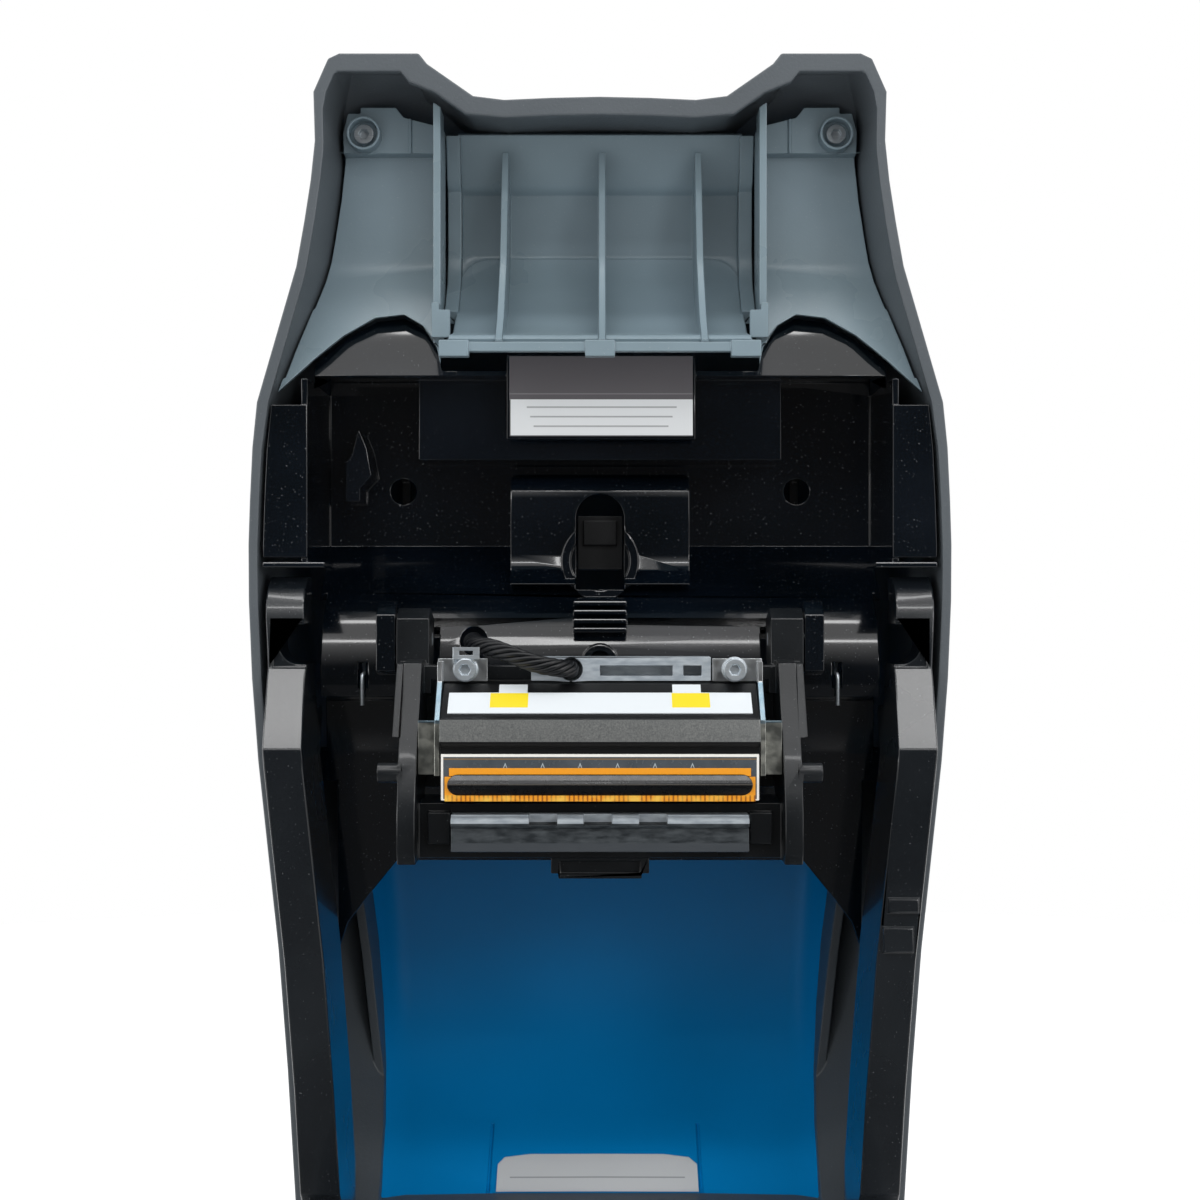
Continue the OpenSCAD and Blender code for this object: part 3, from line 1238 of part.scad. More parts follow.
module hinge_pins() {
    x1 = half_w(0) - arm_in + 1;
    color("#c9ccd0") both() {
        rod(frame_x - 4, x1, hinge_pin_d / 2, hinge_y, base_h);
        rod(frame_x - 6, frame_x - 3.9, hinge_pin_d / 2 + 1.2, hinge_y, base_h);
    }
}
module chassis_screws() {
    color("#c9ccd0") for (s = screw_spots) translate([s[0], s[1], 0]) {
        translate([0, 0, foot_h - 2.2]) cylinder(h = 2.1, r = 3);
        translate([0, 0, foot_h - 0.2]) cylinder(h = 7, r = 1.5);
    }
}

lid_shell();
blue_top_panel();
front_liner();
chute_tray();
ribbon_bay_liner();
left_lid_arm();
right_lid_arm();
liner_screws();
ribbon_label();
ribbon_sensor();
lid_label();
carriage_springs();
carriage_axle();
head_carriage();
head_side_plates();
head_heatsink();
head_plate();
head_flex();
head_element();
head_label();
head_screws();
head_connector();
guide_bar();
head_cable();
base_pan();
left_side_cover();
right_side_cover();
front_cover();
rear_cover();
left_frame();
right_frame();
side_decks();
card_hopper();
output_tray();
card_track();
main_board();
rear_ports();
fan_housing();
drive_motor();
ribbon_motor();
drive_belt();
feet();
hinge_pins();
chassis_screws();
platen_roller();
platen_gear();
feed_roller();
feed_pulley();
pinch_roller();
pick_roller();
pick_pulley();
motor_pinion();
takeup_spindle();
supply_spindle();
fan_rotor();
feeder_door();
release_button();
latch_bar();
control_button();
power_rocker();
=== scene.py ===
# %% [markdown]
# # A desktop card printer with its lid raised
# The lid of this printer stands open, and we look square into it: a charcoal casing, a grey liner with a
# card chute, a glossy black bay for the ribbon, the print head on its carriage, and a blue top panel. The
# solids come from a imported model, which carries the sizes and the joints. Blender adds what a solid model
# lacks: soft edges, real finishes, and small parts such as twisted wires and printed labels.

import json
import math

import bpy
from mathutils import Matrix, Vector


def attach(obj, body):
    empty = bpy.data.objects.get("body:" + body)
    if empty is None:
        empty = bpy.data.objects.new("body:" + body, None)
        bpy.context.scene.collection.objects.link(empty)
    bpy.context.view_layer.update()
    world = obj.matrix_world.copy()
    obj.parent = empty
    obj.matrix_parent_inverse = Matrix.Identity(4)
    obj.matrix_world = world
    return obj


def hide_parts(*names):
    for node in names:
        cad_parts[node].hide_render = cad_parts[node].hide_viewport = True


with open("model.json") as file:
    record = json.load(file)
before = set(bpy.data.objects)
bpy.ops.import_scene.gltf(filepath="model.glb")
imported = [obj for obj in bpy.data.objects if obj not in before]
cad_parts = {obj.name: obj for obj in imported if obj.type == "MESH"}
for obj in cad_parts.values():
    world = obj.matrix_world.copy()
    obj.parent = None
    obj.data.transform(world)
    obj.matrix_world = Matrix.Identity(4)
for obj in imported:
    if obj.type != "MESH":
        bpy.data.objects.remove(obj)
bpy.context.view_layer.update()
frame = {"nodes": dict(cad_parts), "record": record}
nodes = frame["nodes"]
body_of_node = {
    n: body for body, names in frame["record"]["behaviour"]["bodies"].items() for n in names
}
slot_of_node = {s["node"]: s["material_slot"] for s in frame["record"]["subparts"]}

# %% [markdown]
# ## The camera
# The picture was taken square-on: the lens looks level along +Y, straight at the opening of the lid, from
# a little over half a metre. The lens is found from the width of the lid, 201.6 mm, which fills 700 of the
# 1200 pixels of the picture's width.

# %% Place the camera
HINGE = Vector((0, 0.1201, 0.130))
VIEW_DISTANCE = 0.550
camera_data = bpy.data.cameras.new("camera")
camera_data.lens = 57.6
camera_data.sensor_width = 36
camera_data.sensor_fit = "HORIZONTAL"
camera = bpy.data.objects.new("camera", camera_data)
camera.location = (0, HINGE.y - VIEW_DISTANCE, 0.3243)
camera.rotation_euler = (math.radians(90), 0, 0)
bpy.context.collection.objects.link(camera)
bpy.context.scene.camera = camera
bpy.context.scene.view_settings.view_transform = "Standard"
print("camera at", tuple(round(v, 3) for v in camera.location))


# %% [markdown]
# ## Working one object at a time
# An operator acts on everything that is selected, so each step starts by leaving one object selected and
# active. One small helper does that, and another goes in and out of edit mode around a list of steps.


# %% Select one object
def only(obj):
    """Leaves obj as the one selected and active object, in object mode."""
    if bpy.context.object and bpy.context.object.mode != "OBJECT":
        bpy.ops.object.mode_set(mode="OBJECT")
    bpy.ops.object.select_all(action="DESELECT")
    obj.hide_set(False)
    obj.select_set(True)
    bpy.context.view_layer.objects.active = obj


def edit(obj, *steps):
    """Runs steps in edit mode, with all of obj selected."""
    only(obj)
    bpy.ops.object.mode_set(mode="EDIT")
    bpy.ops.mesh.select_all(action="SELECT")
    for step in steps:
        step()
    bpy.ops.object.mode_set(mode="OBJECT")


print("helpers ready")


# %% [markdown]
# ## Shared effects
# A moulded surface is never one flat colour. It has a fine grain from the tool, faint cloudy patches from
# handling, and small bright specks of dust. Each effect is a node group with its own inputs, built once and
# used in many materials. The groups give only heights and masks, and the shader stays in the material.


# %% Build the shader groups
def new_group(name, inputs, outputs):
    """An empty shader group: inputs as {name: default}, outputs as names of value sockets."""
    group = bpy.data.node_groups.new(name, "ShaderNodeTree")
    for label, default in inputs.items():
        socket = group.interface.new_socket(label, in_out="INPUT", socket_type="NodeSocketFloat")
        socket.default_value = default
    for label in outputs:
        group.interface.new_socket(label, in_out="OUTPUT", socket_type="NodeSocketFloat")
    return group, group.nodes.new("NodeGroupInput"), group.nodes.new("NodeGroupOutput")


def noise(tree, scale, detail=2.0, vector=None):
    """A noise texture on Object coordinates, or on the vector socket given."""
    node = tree.nodes.new("ShaderNodeTexNoise")
    node.inputs["Detail"].default_value = detail
    if isinstance(scale, (int, float)):
        node.inputs["Scale"].default_value = scale
    else:
        tree.links.new(scale, node.inputs["Scale"])
    if vector is None:
        vector = tree.nodes.new("ShaderNodeTexCoord").outputs["Object"]
    tree.links.new(vector, node.inputs["Vector"])
    return node.outputs["Fac"]


def ramp(tree, value, low, high, to_low=0.0, to_high=1.0):
    """value from low..high carried to to_low..to_high, and held at the ends."""
    node = tree.nodes.new("ShaderNodeMapRange")
    for label, v in (("From Min", low), ("From Max", high), ("To Min", to_low), ("To Max", to_high)):
        if isinstance(v, (int, float)):
            node.inputs[label].default_value = v
        else:
            tree.links.new(v, node.inputs[label])
    tree.links.new(value, node.inputs["Value"])
    return node.outputs["Result"]


def math_node(tree, kind, a, b=None):
    """One sum on a and b, each a number or a socket."""
    node = tree.nodes.new("ShaderNodeMath")
    node.operation = kind
    for i, v in enumerate((a, b)):
        if v is None:
            continue
        if isinstance(v, (int, float)):
            node.inputs[i].default_value = v
        else:
            tree.links.new(v, node.inputs[i])
    return node.outputs[0]


def stretched(tree, x, y, z):
    """Object coordinates scaled by x, y, z, for streaks that run along one axis."""
    coords = tree.nodes.new("ShaderNodeTexCoord").outputs["Object"]
    mapping = tree.nodes.new("ShaderNodeMapping")
    mapping.inputs["Scale"].default_value = (x, y, z)
    tree.links.new(coords, mapping.inputs["Vector"])
    return mapping.outputs["Vector"]


moulding, ins, outs = new_group("moulding", {"Grain Scale": 1500.0}, ["Height", "Clouds", "Dust"])
moulding.links.new(noise(moulding, ins.outputs["Grain Scale"], 3.0), outs.inputs["Height"])
moulding.links.new(ramp(moulding, noise(moulding, 22.0, 4.0), 0.35, 0.7), outs.inputs["Clouds"])
moulding.links.new(ramp(moulding, noise(moulding, 1900.0, 1.0), 0.735, 0.775), outs.inputs["Dust"])

brushing, ins, outs = new_group("brushing", {"Cast": 0.5}, ["Height", "Streaks"])
fine = noise(brushing, 60.0, 3.0, stretched(brushing, 1.0, 40.0, 40.0))
broad = noise(brushing, 8.0, 2.0, stretched(brushing, 1.0, 12.0, 12.0))
brushing.links.new(fine, outs.inputs["Height"])
mixed = math_node(brushing, "ADD", fine, math_node(brushing, "MULTIPLY", broad, ins.outputs["Cast"]))
brushing.links.new(ramp(brushing, mixed, 0.4, 1.1), outs.inputs["Streaks"])

bands, ins, outs = new_group("bands", {"Place": 0.0, "Low": 0.0, "High": 1.0, "Soft": 0.00005}, ["Inside"])
past_low = math_node(bands, "SUBTRACT", ins.outputs["Place"], ins.outputs["Low"])
rise_in = ramp(bands, past_low, 0.0, ins.outputs["Soft"])
short_of_high = math_node(bands, "SUBTRACT", ins.outputs["High"], ins.outputs["Place"])
fall_out = ramp(bands, short_of_high, 0.0, ins.outputs["Soft"])
bands.links.new(math_node(bands, "MULTIPLY", rise_in, fall_out), outs.inputs["Inside"])
print("groups:", [g.name for g in bpy.data.node_groups])


# %% [markdown]
# ## Finishes
# Each finish is a Principled shader with its own numbers. The colour drifts a little with the clouds, the
# roughness follows them too, and the grain bends the light. Glossy moulded parts get a low roughness, and
# textured casings a high one with a coarser grain.


# %% Write down colours
def srgb(text):
    """A linear colour from a web colour."""
    parts = [int(text[i : i + 2], 16) / 255 for i in (0, 2, 4)]
    return tuple(c / 12.92 if c <= 0.04045 else ((c + 0.055) / 1.055) ** 2.4 for c in parts) + (1.0,)


def mix_colour(tree, factor, a, b):
    node = tree.nodes.new("ShaderNodeMix")
    node.data_type = "RGBA"
    tree.links.new(factor, node.inputs["Factor"])
    for socket, v in ((node.inputs[6], a), (node.inputs[7], b)):
        if isinstance(v, tuple):
            socket.default_value = v
        else:
            tree.links.new(v, socket)
    return node.outputs[2]


def group_node(tree, group, **values):
    node = tree.nodes.new("ShaderNodeGroup")
    node.node_tree = group
    for label, v in values.items():
        socket = node.inputs[label.replace("_", " ")]
        if isinstance(v, (int, float)):
            socket.default_value = v
        else:
            tree.links.new(v, socket)
    return node


def bump(tree, height, strength, distance):
    node = tree.nodes.new("ShaderNodeBump")
    node.inputs["Strength"].default_value = strength
    node.inputs["Distance"].default_value = distance
    tree.links.new(height, node.inputs["Height"])
    return node.outputs["Normal"]


def plain(name, **sockets):
    """A new material with a Principled shader whose plain sockets are set."""
    material = bpy.data.materials.new(name)
    material.use_nodes = True
    shader = material.node_tree.nodes["Principled BSDF"]
    for label, v in sockets.items():
        shader.inputs[label.replace("_", " ")].default_value = v
    material.diffuse_color = sockets.get("Base_Color", (0.5, 0.5, 0.5, 1))
    return material, material.node_tree, shader


def moulded(name, colour, worn, rough, grain=1500.0, depth=0.25, dust=0.0, coat=0.0, ior=1.46, span=0.12):
    """Moulded plastic: colour drifts to worn in the clouds, and rough rises by span there."""
    material, tree, shader = plain(
        name, Base_Color=srgb(colour), Coat_Weight=coat, Coat_Roughness=0.08, IOR=ior
    )
    skin = group_node(tree, moulding, Grain_Scale=grain)
    tint = mix_colour(tree, skin.outputs["Clouds"], srgb(colour), srgb(worn))
    if dust:
        amount = math_node(tree, "MULTIPLY", skin.outputs["Dust"], dust)
        tint = mix_colour(tree, amount, tint, srgb("b9bcc0"))
    tree.links.new(tint, shader.inputs["Base Color"])
    roughness = ramp(tree, skin.outputs["Clouds"], 0.0, 1.0, rough, rough + span)
    tree.links.new(roughness, shader.inputs["Roughness"])
    tree.links.new(bump(tree, skin.outputs["Height"], depth, 0.0002), shader.inputs["Normal"])
    return material


def metal(name, colour, dark, rough, depth=0.15, cast=0.5):
    """Brushed or plated metal, with streaks along X."""
    material, tree, shader = plain(name, Base_Color=srgb(colour), Metallic=1.0)
    brush = group_node(tree, brushing, Cast=cast)
    streaks = brush.outputs["Streaks"]
    tree.links.new(mix_colour(tree, streaks, srgb(dark), srgb(colour)), shader.inputs["Base Color"])
    tree.links.new(ramp(tree, streaks, 0.0, 1.0, rough + 0.12, rough), shader.inputs["Roughness"])
    tree.links.new(bump(tree, brush.outputs["Height"], depth, 0.0001), shader.inputs["Normal"])
    return material


# %% Make the finishes
finishes = {
    "charcoal": moulded(
        "casing charcoal", "50565b", "565c61", 0.4, grain=1100, depth=0.4, dust=0.15, span=0.05
    ),
    "blue": moulded("panel blue", "0086cd", "0089d2", 0.34, grain=700, depth=0.05, ior=1.3, span=0.04),
    "liner_grey": moulded(
        "liner grey", "76878f", "7e909a", 0.26, grain=1300, depth=0.12, dust=0.25, span=0.08
    ),
    "bay_black": moulded(
        "bay gloss black", "03070c", "070f18", 0.1, grain=500, depth=0.02, dust=0.25, coat=1.0
    ),
    "arm_black": moulded("arm black", "111519", "191e23", 0.2, grain=1500, depth=0.12, dust=0.2, coat=0.7),
    "sensor_black": moulded("sensor black", "0e0f11", "17191c", 0.42, depth=0.2),
    "head_black": moulded(
        "carriage black", "0d1013", "181c20", 0.27, grain=1300, depth=0.2, dust=0.2, coat=0.4
    ),
    "cable_black": moulded("sleeve black", "0b0c0e", "191b1e", 0.25, grain=2500, depth=0.1),
    "pan_grey": moulded("pan grey", "26282b", "303337", 0.55, depth=0.4, dust=0.1),
    "inner_black": moulded("inner black", "202327", "2b2f33", 0.42, depth=0.3, dust=0.2),
    "rubber_black": moulded("rubber black", "17181a", "222427", 0.72, grain=2600, depth=0.5),
    "gear_white": moulded("gear white", "d9d6ca", "c6c2b3", 0.4, depth=0.12),
    "button_grey": moulded("button grey", "8b9095", "9aa0a5", 0.4, depth=0.3),
    "zinc": metal("bright zinc", "eef4f8", "c4ced6", 0.4, 0.05),
    "frame_steel": metal("galvanised steel", "b9bec2", "8a9095", 0.33, 0.15),
    "motor_steel": metal("motor steel", "c4c8cb", "959a9e", 0.3, 0.1),
    "brass": metal("turned brass", "cfae66", "a0813f", 0.28, 0.1),
}
print("made", len(finishes), "finishes")

# %% [markdown]
# ## Printed and baked surfaces
# Labels, the amber film and the glazed strip carry plain bands, so their colour follows a place on the
# piece: Object coordinates are split into X, Y and Z, and the bands group answers 1 between two limits.
# No picture file is needed, and the edges stay sharp at any distance.


# %% Bands by place
def place(tree):
    """X, Y and Z of the surface point, as three sockets."""
    split = tree.nodes.new("ShaderNodeSeparateXYZ")
    tree.links.new(tree.nodes.new("ShaderNodeTexCoord").outputs["Object"], split.inputs[0])
    return dict(zip("xyz", split.outputs))


def between(tree, socket, low, high, soft=0.00005):
    """A mask that is 1 where socket lies between low and high, in metres."""
    return group_node(tree, bands, Place=socket, Low=low, High=high, Soft=soft).outputs["Inside"]


def patch(tree, at, x, z):
    """A mask for a rectangle between the pairs x and z."""
    return math_node(tree, "MULTIPLY", between(tree, at["x"], *x), between(tree, at["z"], *z))


def printed(name, paper, marks, rough=0.35, coat=0.3):
    """A printed film: paper, with marks as (x limits, z limits, colour) laid over one another."""
    material, tree, shader = plain(name, Base_Color=srgb(paper), Coat_Weight=coat, Coat_Roughness=0.15)
    at = place(tree)
    colour = srgb(paper)
    for x, z, ink in marks:
        colour = mix_colour(tree, patch(tree, at, x, z), colour, srgb(ink))
    skin = group_node(tree, moulding, Grain_Scale=900.0)
    tree.links.new(colour, shader.inputs["Base Color"])
    tree.links.new(ramp(tree, skin.outputs["Clouds"], 0, 1, rough, rough + 0.1), shader.inputs["Roughness"])
    tree.links.new(bump(tree, skin.outputs["Height"], 0.05, 0.0001), shader.inputs["Normal"])
    return material


def up(z):
    """Height above the table of a height above the hinge, in metres from millimetres."""
    return HINGE.z + z / 1000


WIDE = (-0.2, 0.2)
ribbon_marks = [(WIDE, (up(253.1), up(270)), "625f63"), (WIDE, (up(254.6), up(254.9)), "8a888c")]
for i, z in enumerate((250.6, 247.8, 245)):
    ribbon_marks.append(((-0.0215 + i * 0.001, 0.0225 - i * 0.0012), (up(z), up(z + 0.5)), "a9abad"))
ribbon_marks += [(WIDE, (up(242), up(242.6)), "3c3d40"), ((-0.03, -0.0262), (up(242), up(253.1)), "3c3d40")]
ribbon_print = printed("ribbon label print", "e4e7e9", ribbon_marks)
PATCH_AT, PATCH_HALF = 0.0247, 0.0052
head_marks = [
    ((side * PATCH_AT - PATCH_HALF, side * PATCH_AT + PATCH_HALF), (up(165.2), up(168.9)), "f0d81f")
    for side in (-1, 1)
]
head_print = printed("head label print", "dfe5e9", head_marks)
lid_print = printed("lid label print", "dfe2e4", [((-0.028, 0.0264), (up(14.9), up(15.2)), "a9adb1")])

# %% The amber film with its fine traces
amber, tree, shader = plain(
    "amber film", Base_Color=srgb("f4a21a"), Coat_Weight=0.5, Coat_Roughness=0.1, Roughness=0.28
)
at = place(tree)
wave = math_node(tree, "SINE", math_node(tree, "MULTIPLY", at["x"], 5200.0))
traces = ramp(tree, wave, 0.2, 0.6)
low_strip = between(tree, at["z"], up(139), up(142.1))
shade = mix_colour(tree, math_node(tree, "MULTIPLY", traces, low_strip), srgb("f09c16"), srgb("a55f12"))
patches = ramp(tree, noise(tree, 260.0, 2.0), 0.45, 0.7)
shade = mix_colour(tree, math_node(tree, "MULTIPLY", patches, low_strip), shade, srgb("f3c04a"))
tree.links.new(shade, shader.inputs["Base Color"])
tree.links.new(bump(tree, traces, 0.2, 0.0001), shader.inputs["Normal"])

# %% The glazed strip, the ceramic plate and the circuit board
glaze, tree, shader = plain("dark glaze", Base_Color=srgb("0c0e11"), Coat_Weight=0.3, Coat_Roughness=0.1)
at = place(tree)
# The thin paler line across the glaze, from 144.9 to 145.15 mm, is a painted highlight.
line = between(tree, at["z"], up(144.9), up(145.15))
tree.links.new(mix_colour(tree, line, srgb("0c0e11"), srgb("4a4640")), shader.inputs["Base Color"])
tree.links.new(ramp(tree, noise(tree, 300.0, 3.0), 0.3, 0.7, 0.22, 0.34), shader.inputs["Roughness"])
ceramic, tree, shader = plain(
    "ceramic plate", Base_Color=srgb("e6e4de"), Coat_Weight=0.6, Coat_Roughness=0.06
)
at = place(tree)
glass = patch(tree, at, (-0.0420, 0.0420), (up(141), up(152.3)))
shade = mix_colour(tree, noise(tree, 180.0, 3.0), srgb("3e454b"), srgb("565d63"))
shade = mix_colour(tree, between(tree, at["z"], up(151.5), up(151.9)), shade, srgb("7d674c"))
# small arrow heads 10 mm apart: how far a point lies from its arrow's middle, in millimetres, and how
# wide the arrow is there
share = math_node(tree, "FRACT", math_node(tree, "MULTIPLY", math_node(tree, "ADD", at["x"], 0.0304), 99.7))
off_middle = math_node(tree, "ABSOLUTE", math_node(tree, "SUBTRACT", share, 0.5))
apart = math_node(tree, "MULTIPLY", off_middle, 10.03)
wide = math_node(tree, "MULTIPLY", math_node(tree, "SUBTRACT", up(150.8), at["z"]), 400.0)
line = ramp(tree, math_node(tree, "SUBTRACT", wide, apart), 0.0, 0.05)
hollow = ramp(tree, math_node(tree, "SUBTRACT", wide, apart), 0.22, 0.27)
arrows = math_node(tree, "SUBTRACT", line, hollow)
arrows = math_node(tree, "MULTIPLY", arrows, patch(tree, at, (-0.0290, 0.0290), (up(149.3), up(150.8))))
shade = mix_colour(tree, arrows, shade, srgb("a9b4b8"))
tree.links.new(mix_colour(tree, glass, srgb("eceae4"), shade), shader.inputs["Base Color"])
tree.links.new(ramp(tree, noise(tree, 900.0, 2.0), 0.3, 0.7, 0.15, 0.3), shader.inputs["Roughness"])

# %% The head's metal: a satin bar between black edges, and side plates part steel, part cast
sink, tree, shader = plain("satin heat sink", Base_Color=srgb("6a6d70"), IOR=1.4)
at = place(tree)
satin = between(tree, at["z"], up(156.3), up(162.2))
speckle = ramp(tree, noise(tree, 2400.0, 2.0), 0.3, 0.75)
satin_grey = mix_colour(tree, speckle, srgb("9fa2a3"), srgb("bdbfbc"))
tree.links.new(mix_colour(tree, satin, srgb("0c0d0f"), satin_grey), shader.inputs["Base Color"])
tree.links.new(satin, shader.inputs["Metallic"])
tree.links.new(ramp(tree, speckle, 0.0, 1.0, 0.34, 0.42), shader.inputs["Roughness"])
tree.links.new(bump(tree, speckle, 0.15, 0.00005), shader.inputs["Normal"])
side_metal, tree, shader = plain("head side metal", Base_Color=srgb("b4b8b6"), Metallic=1.0)
at = place(tree)
mottle = ramp(tree, noise(tree, 320.0, 4.0), 0.35, 0.7)
steel = mix_colour(tree, mottle, srgb("7f97a5"), srgb("9fb1ba"))
cast = mix_colour(tree, mottle, srgb("a9aca6"), srgb("cfcfc6"))
tab = between(tree, at["z"], up(171.8), up(182))
shade = mix_colour(tree, between(tree, at["z"], up(161), up(171.8)), cast, steel)
tree.links.new(mix_colour(tree, tab, shade, srgb("c4c7c9")), shader.inputs["Base Color"])
tree.links.new(ramp(tree, mottle, 0.0, 1.0, 0.3, 0.48), shader.inputs["Roughness"])
tree.links.new(bump(tree, mottle, 0.2, 0.0002), shader.inputs["Normal"])

# %% The worn guide bar: a paler top band over a dark, mottled one
bar, tree, shader = plain("worn guide bar", Base_Color=srgb("4a4f55"), Coat_Weight=0.2, Coat_Roughness=0.2)
at = place(tree)
wear = ramp(tree, noise(tree, 240.0, 5.0, stretched(tree, 1.0, 3.0, 3.0)), 0.35, 0.7)
dark = mix_colour(tree, wear, srgb("262b2f"), srgb("474d51"))
pale = mix_colour(tree, wear, srgb("8b949c"), srgb("aab2b8"))
dark = mix_colour(tree, between(tree, at["z"], up(126), up(128.8)), dark, srgb("40454a"))
top_band = between(tree, at["z"], up(134.2), up(180))
tree.links.new(mix_colour(tree, top_band, dark, pale), shader.inputs["Base Color"])
tree.links.new(ramp(tree, wear, 0.0, 1.0, 0.3, 0.45), shader.inputs["Roughness"])
tree.links.new(bump(tree, wear, 0.25, 0.0002), shader.inputs["Normal"])
board, tree, shader = plain("circuit board", Base_Color=srgb("1c5a3a"), Roughness=0.35, Coat_Weight=0.3)
at = place(tree)
chips = between(tree, at["x"], 0.0672, 0.0789)
tracks = ramp(tree, math_node(tree, "SINE", math_node(tree, "MULTIPLY", at["y"], 2600.0)), 0.7, 0.8)
tracks = math_node(tree, "MULTIPLY", tracks, ramp(tree, noise(tree, 60.0), 0.5, 0.52))
green = mix_colour(tree, tracks, srgb("1b5637"), srgb("2c7a50"))
tree.links.new(mix_colour(tree, chips, green, srgb("1a1b1d")), shader.inputs["Base Color"])

finishes.update(label_white=head_print, amber=amber, glaze=glaze, ceramic=ceramic, board_green=board)
finishes.update(anodised=sink, brushed=side_metal, bar_grey=bar)
own_finish = {"ribbon_label": ribbon_print, "lid_label": lid_print}
print("made", len(bpy.data.materials), "materials")

# %% [markdown]
# ## Finishing the solids
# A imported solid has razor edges, and real mouldings don't: each corner catches a thin line of light. So a
# solid is copied, its loose triangles are merged and its flats joined, and a bevel rounds what is sharp.
# Normals weighted by face area then keep the flats flat, so that only the rounded edges bend the light.
# The copy then stands for the solid, rides on the same body and takes its finish.


# %% Soften a copy of a solid
def finish_for(node):
    """The print of a label, or the finish of the node's slot."""
    return own_finish.get(node) or finishes[slot_of_node[node]]


def settle(piece, node):
    """piece stands for a node: it rides on its body and takes its finish."""
    if not piece.data.materials:
        piece.data.materials.append(finish_for(node))
    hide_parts(node)
    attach(piece, body_of_node[node])
    return piece


def soften(node, width, segments=2, sharp=32):
    """A finished copy of a node, its sharp edges rounded by width millimetres."""
    piece = bpy.data.objects.new(node + "_piece", nodes[node].data.copy())
    bpy.context.collection.objects.link(piece)
    piece.data.materials.clear()
    edit(
        piece,
        lambda: bpy.ops.mesh.remove_doubles(threshold=0.000005),
        lambda: bpy.ops.mesh.dissolve_limited(angle_limit=math.radians(0.6)),
    )
    edge = piece.modifiers.new("edge", "BEVEL")
    edge.width = width / 1000
    edge.segments = segments
    edge.limit_method = "ANGLE"
    edge.angle_limit = math.radians(sharp)
    edge.use_clamp_overlap = False
    bpy.ops.object.modifier_apply(modifier="edge")
    bpy.ops.object.shade_smooth_by_angle(angle=math.radians(26))
    flat = piece.modifiers.new("flats", "WEIGHTED_NORMAL")
    flat.mode = "FACE_AREA"
    flat.weight = 100
    flat.keep_sharp = True
    bpy.ops.object.modifier_apply(modifier="flats")
    return settle(piece, node)


# %% Soften every moulded and pressed piece
edge_widths = {
    "lid_shell": 0.5, "blue_top_panel": 0.4, "front_liner": 0.3, "chute_tray": 0.3,
    "ribbon_bay_liner": 0.35, "left_lid_arm": 0.5, "right_lid_arm": 0.5, "liner_screws": 0.2,
    "ribbon_sensor": 0.3, "head_carriage": 0.35, "head_side_plates": 0.15, "head_heatsink": 0.15,
    "head_plate": 0.12, "head_connector": 0.25, "guide_bar": 0.3, "head_screws": 0.2, "base_pan": 0.4,
    "left_side_cover": 0.5, "right_side_cover": 0.5, "front_cover": 0.5, "rear_cover": 0.5,
    "left_frame": 0.2, "right_frame": 0.2, "side_decks": 0.3, "card_hopper": 0.3, "output_tray": 0.3,
    "card_track": 0.25, "rear_ports": 0.25, "fan_housing": 0.3, "drive_motor": 0.4, "ribbon_motor": 0.3,
    "feet": 0.8, "feeder_door": 0.4, "release_button": 0.5, "latch_bar": 0.3, "control_button": 0.4,
    "power_rocker": 0.4, "takeup_spindle": 0.25, "supply_spindle": 0.25, "fan_rotor": 0.2,
    "platen_roller": 0.3, "feed_roller": 0.3, "pinch_roller": 0.3, "pick_roller": 0.3,
    "feed_pulley": 0.2, "pick_pulley": 0.2, "hinge_pins": 0.3, "chassis_screws": 0.2,
    "carriage_axle": 0.2, "drive_belt": 0.15, "main_board": 0.1, "head_element": 0.15,
    "head_flex": 0.05, "ribbon_label": 0.05, "lid_label": 0.05, "head_label": 0.05,
}
for node, width in edge_widths.items():
    soften(node, width)
print("softened", len(edge_widths), "pieces")

# %% [markdown]
# ## The twisted head cable
# The print head's wires are twisted together and come out of the bay behind its left arm. One strand is a
# tube along a helix about the cable's route, and eight of them, an eighth of a turn apart, make the bundle.
# The route repeats the points of the solid cable, so the strands fill the same space.


# %% Twist the strands
cable_points = [
    (-37, 15, 182.4), (-37, 10, 182.4), (-36.8, 4, 182.3), (-36.4, -2, 182.2), (-35.6, -8, 181.9),
    (-34, -13.4, 181.7), (-31.6, -18, 181.4), (-28.4, -21.6, 180.7), (-24.6, -24, 179.4),
    (-20.4, -25.2, 177.8), (-16, -25.6, 176.5), (-12, -25.2, 175.8), (-9.2, -23.4, 175.4),
    (-8.1, -20.6, 175.2), (-8, -16, 175.2),
]


def on_lid(x, depth, z):
    """A point in lid places, in metres in the frame."""
    return Vector((x / 1000, HINGE.y + depth / 1000, HINGE.z + z / 1000))


def smooth_route(points, count):
    """count + 1 points on a smooth curve through points (Catmull-Rom)."""
    route = []
    spans = len(points) - 1
    for i in range(count + 1):
        t = i / count * spans
        k = min(int(t), spans - 1)
        f = t - k
        p0, p1, p2, p3 = (points[min(max(k + j, 0), spans)] for j in (-1, 0, 1, 2))
        slope = (p2 - p0) * f
        bend = (2 * p0 - 5 * p1 + 4 * p2 - p3) * f**2
        sway = (3 * p1 - p0 - 3 * p2 + p3) * f**3
        route.append(0.5 * (2 * p1 + slope + bend + sway))
    return route


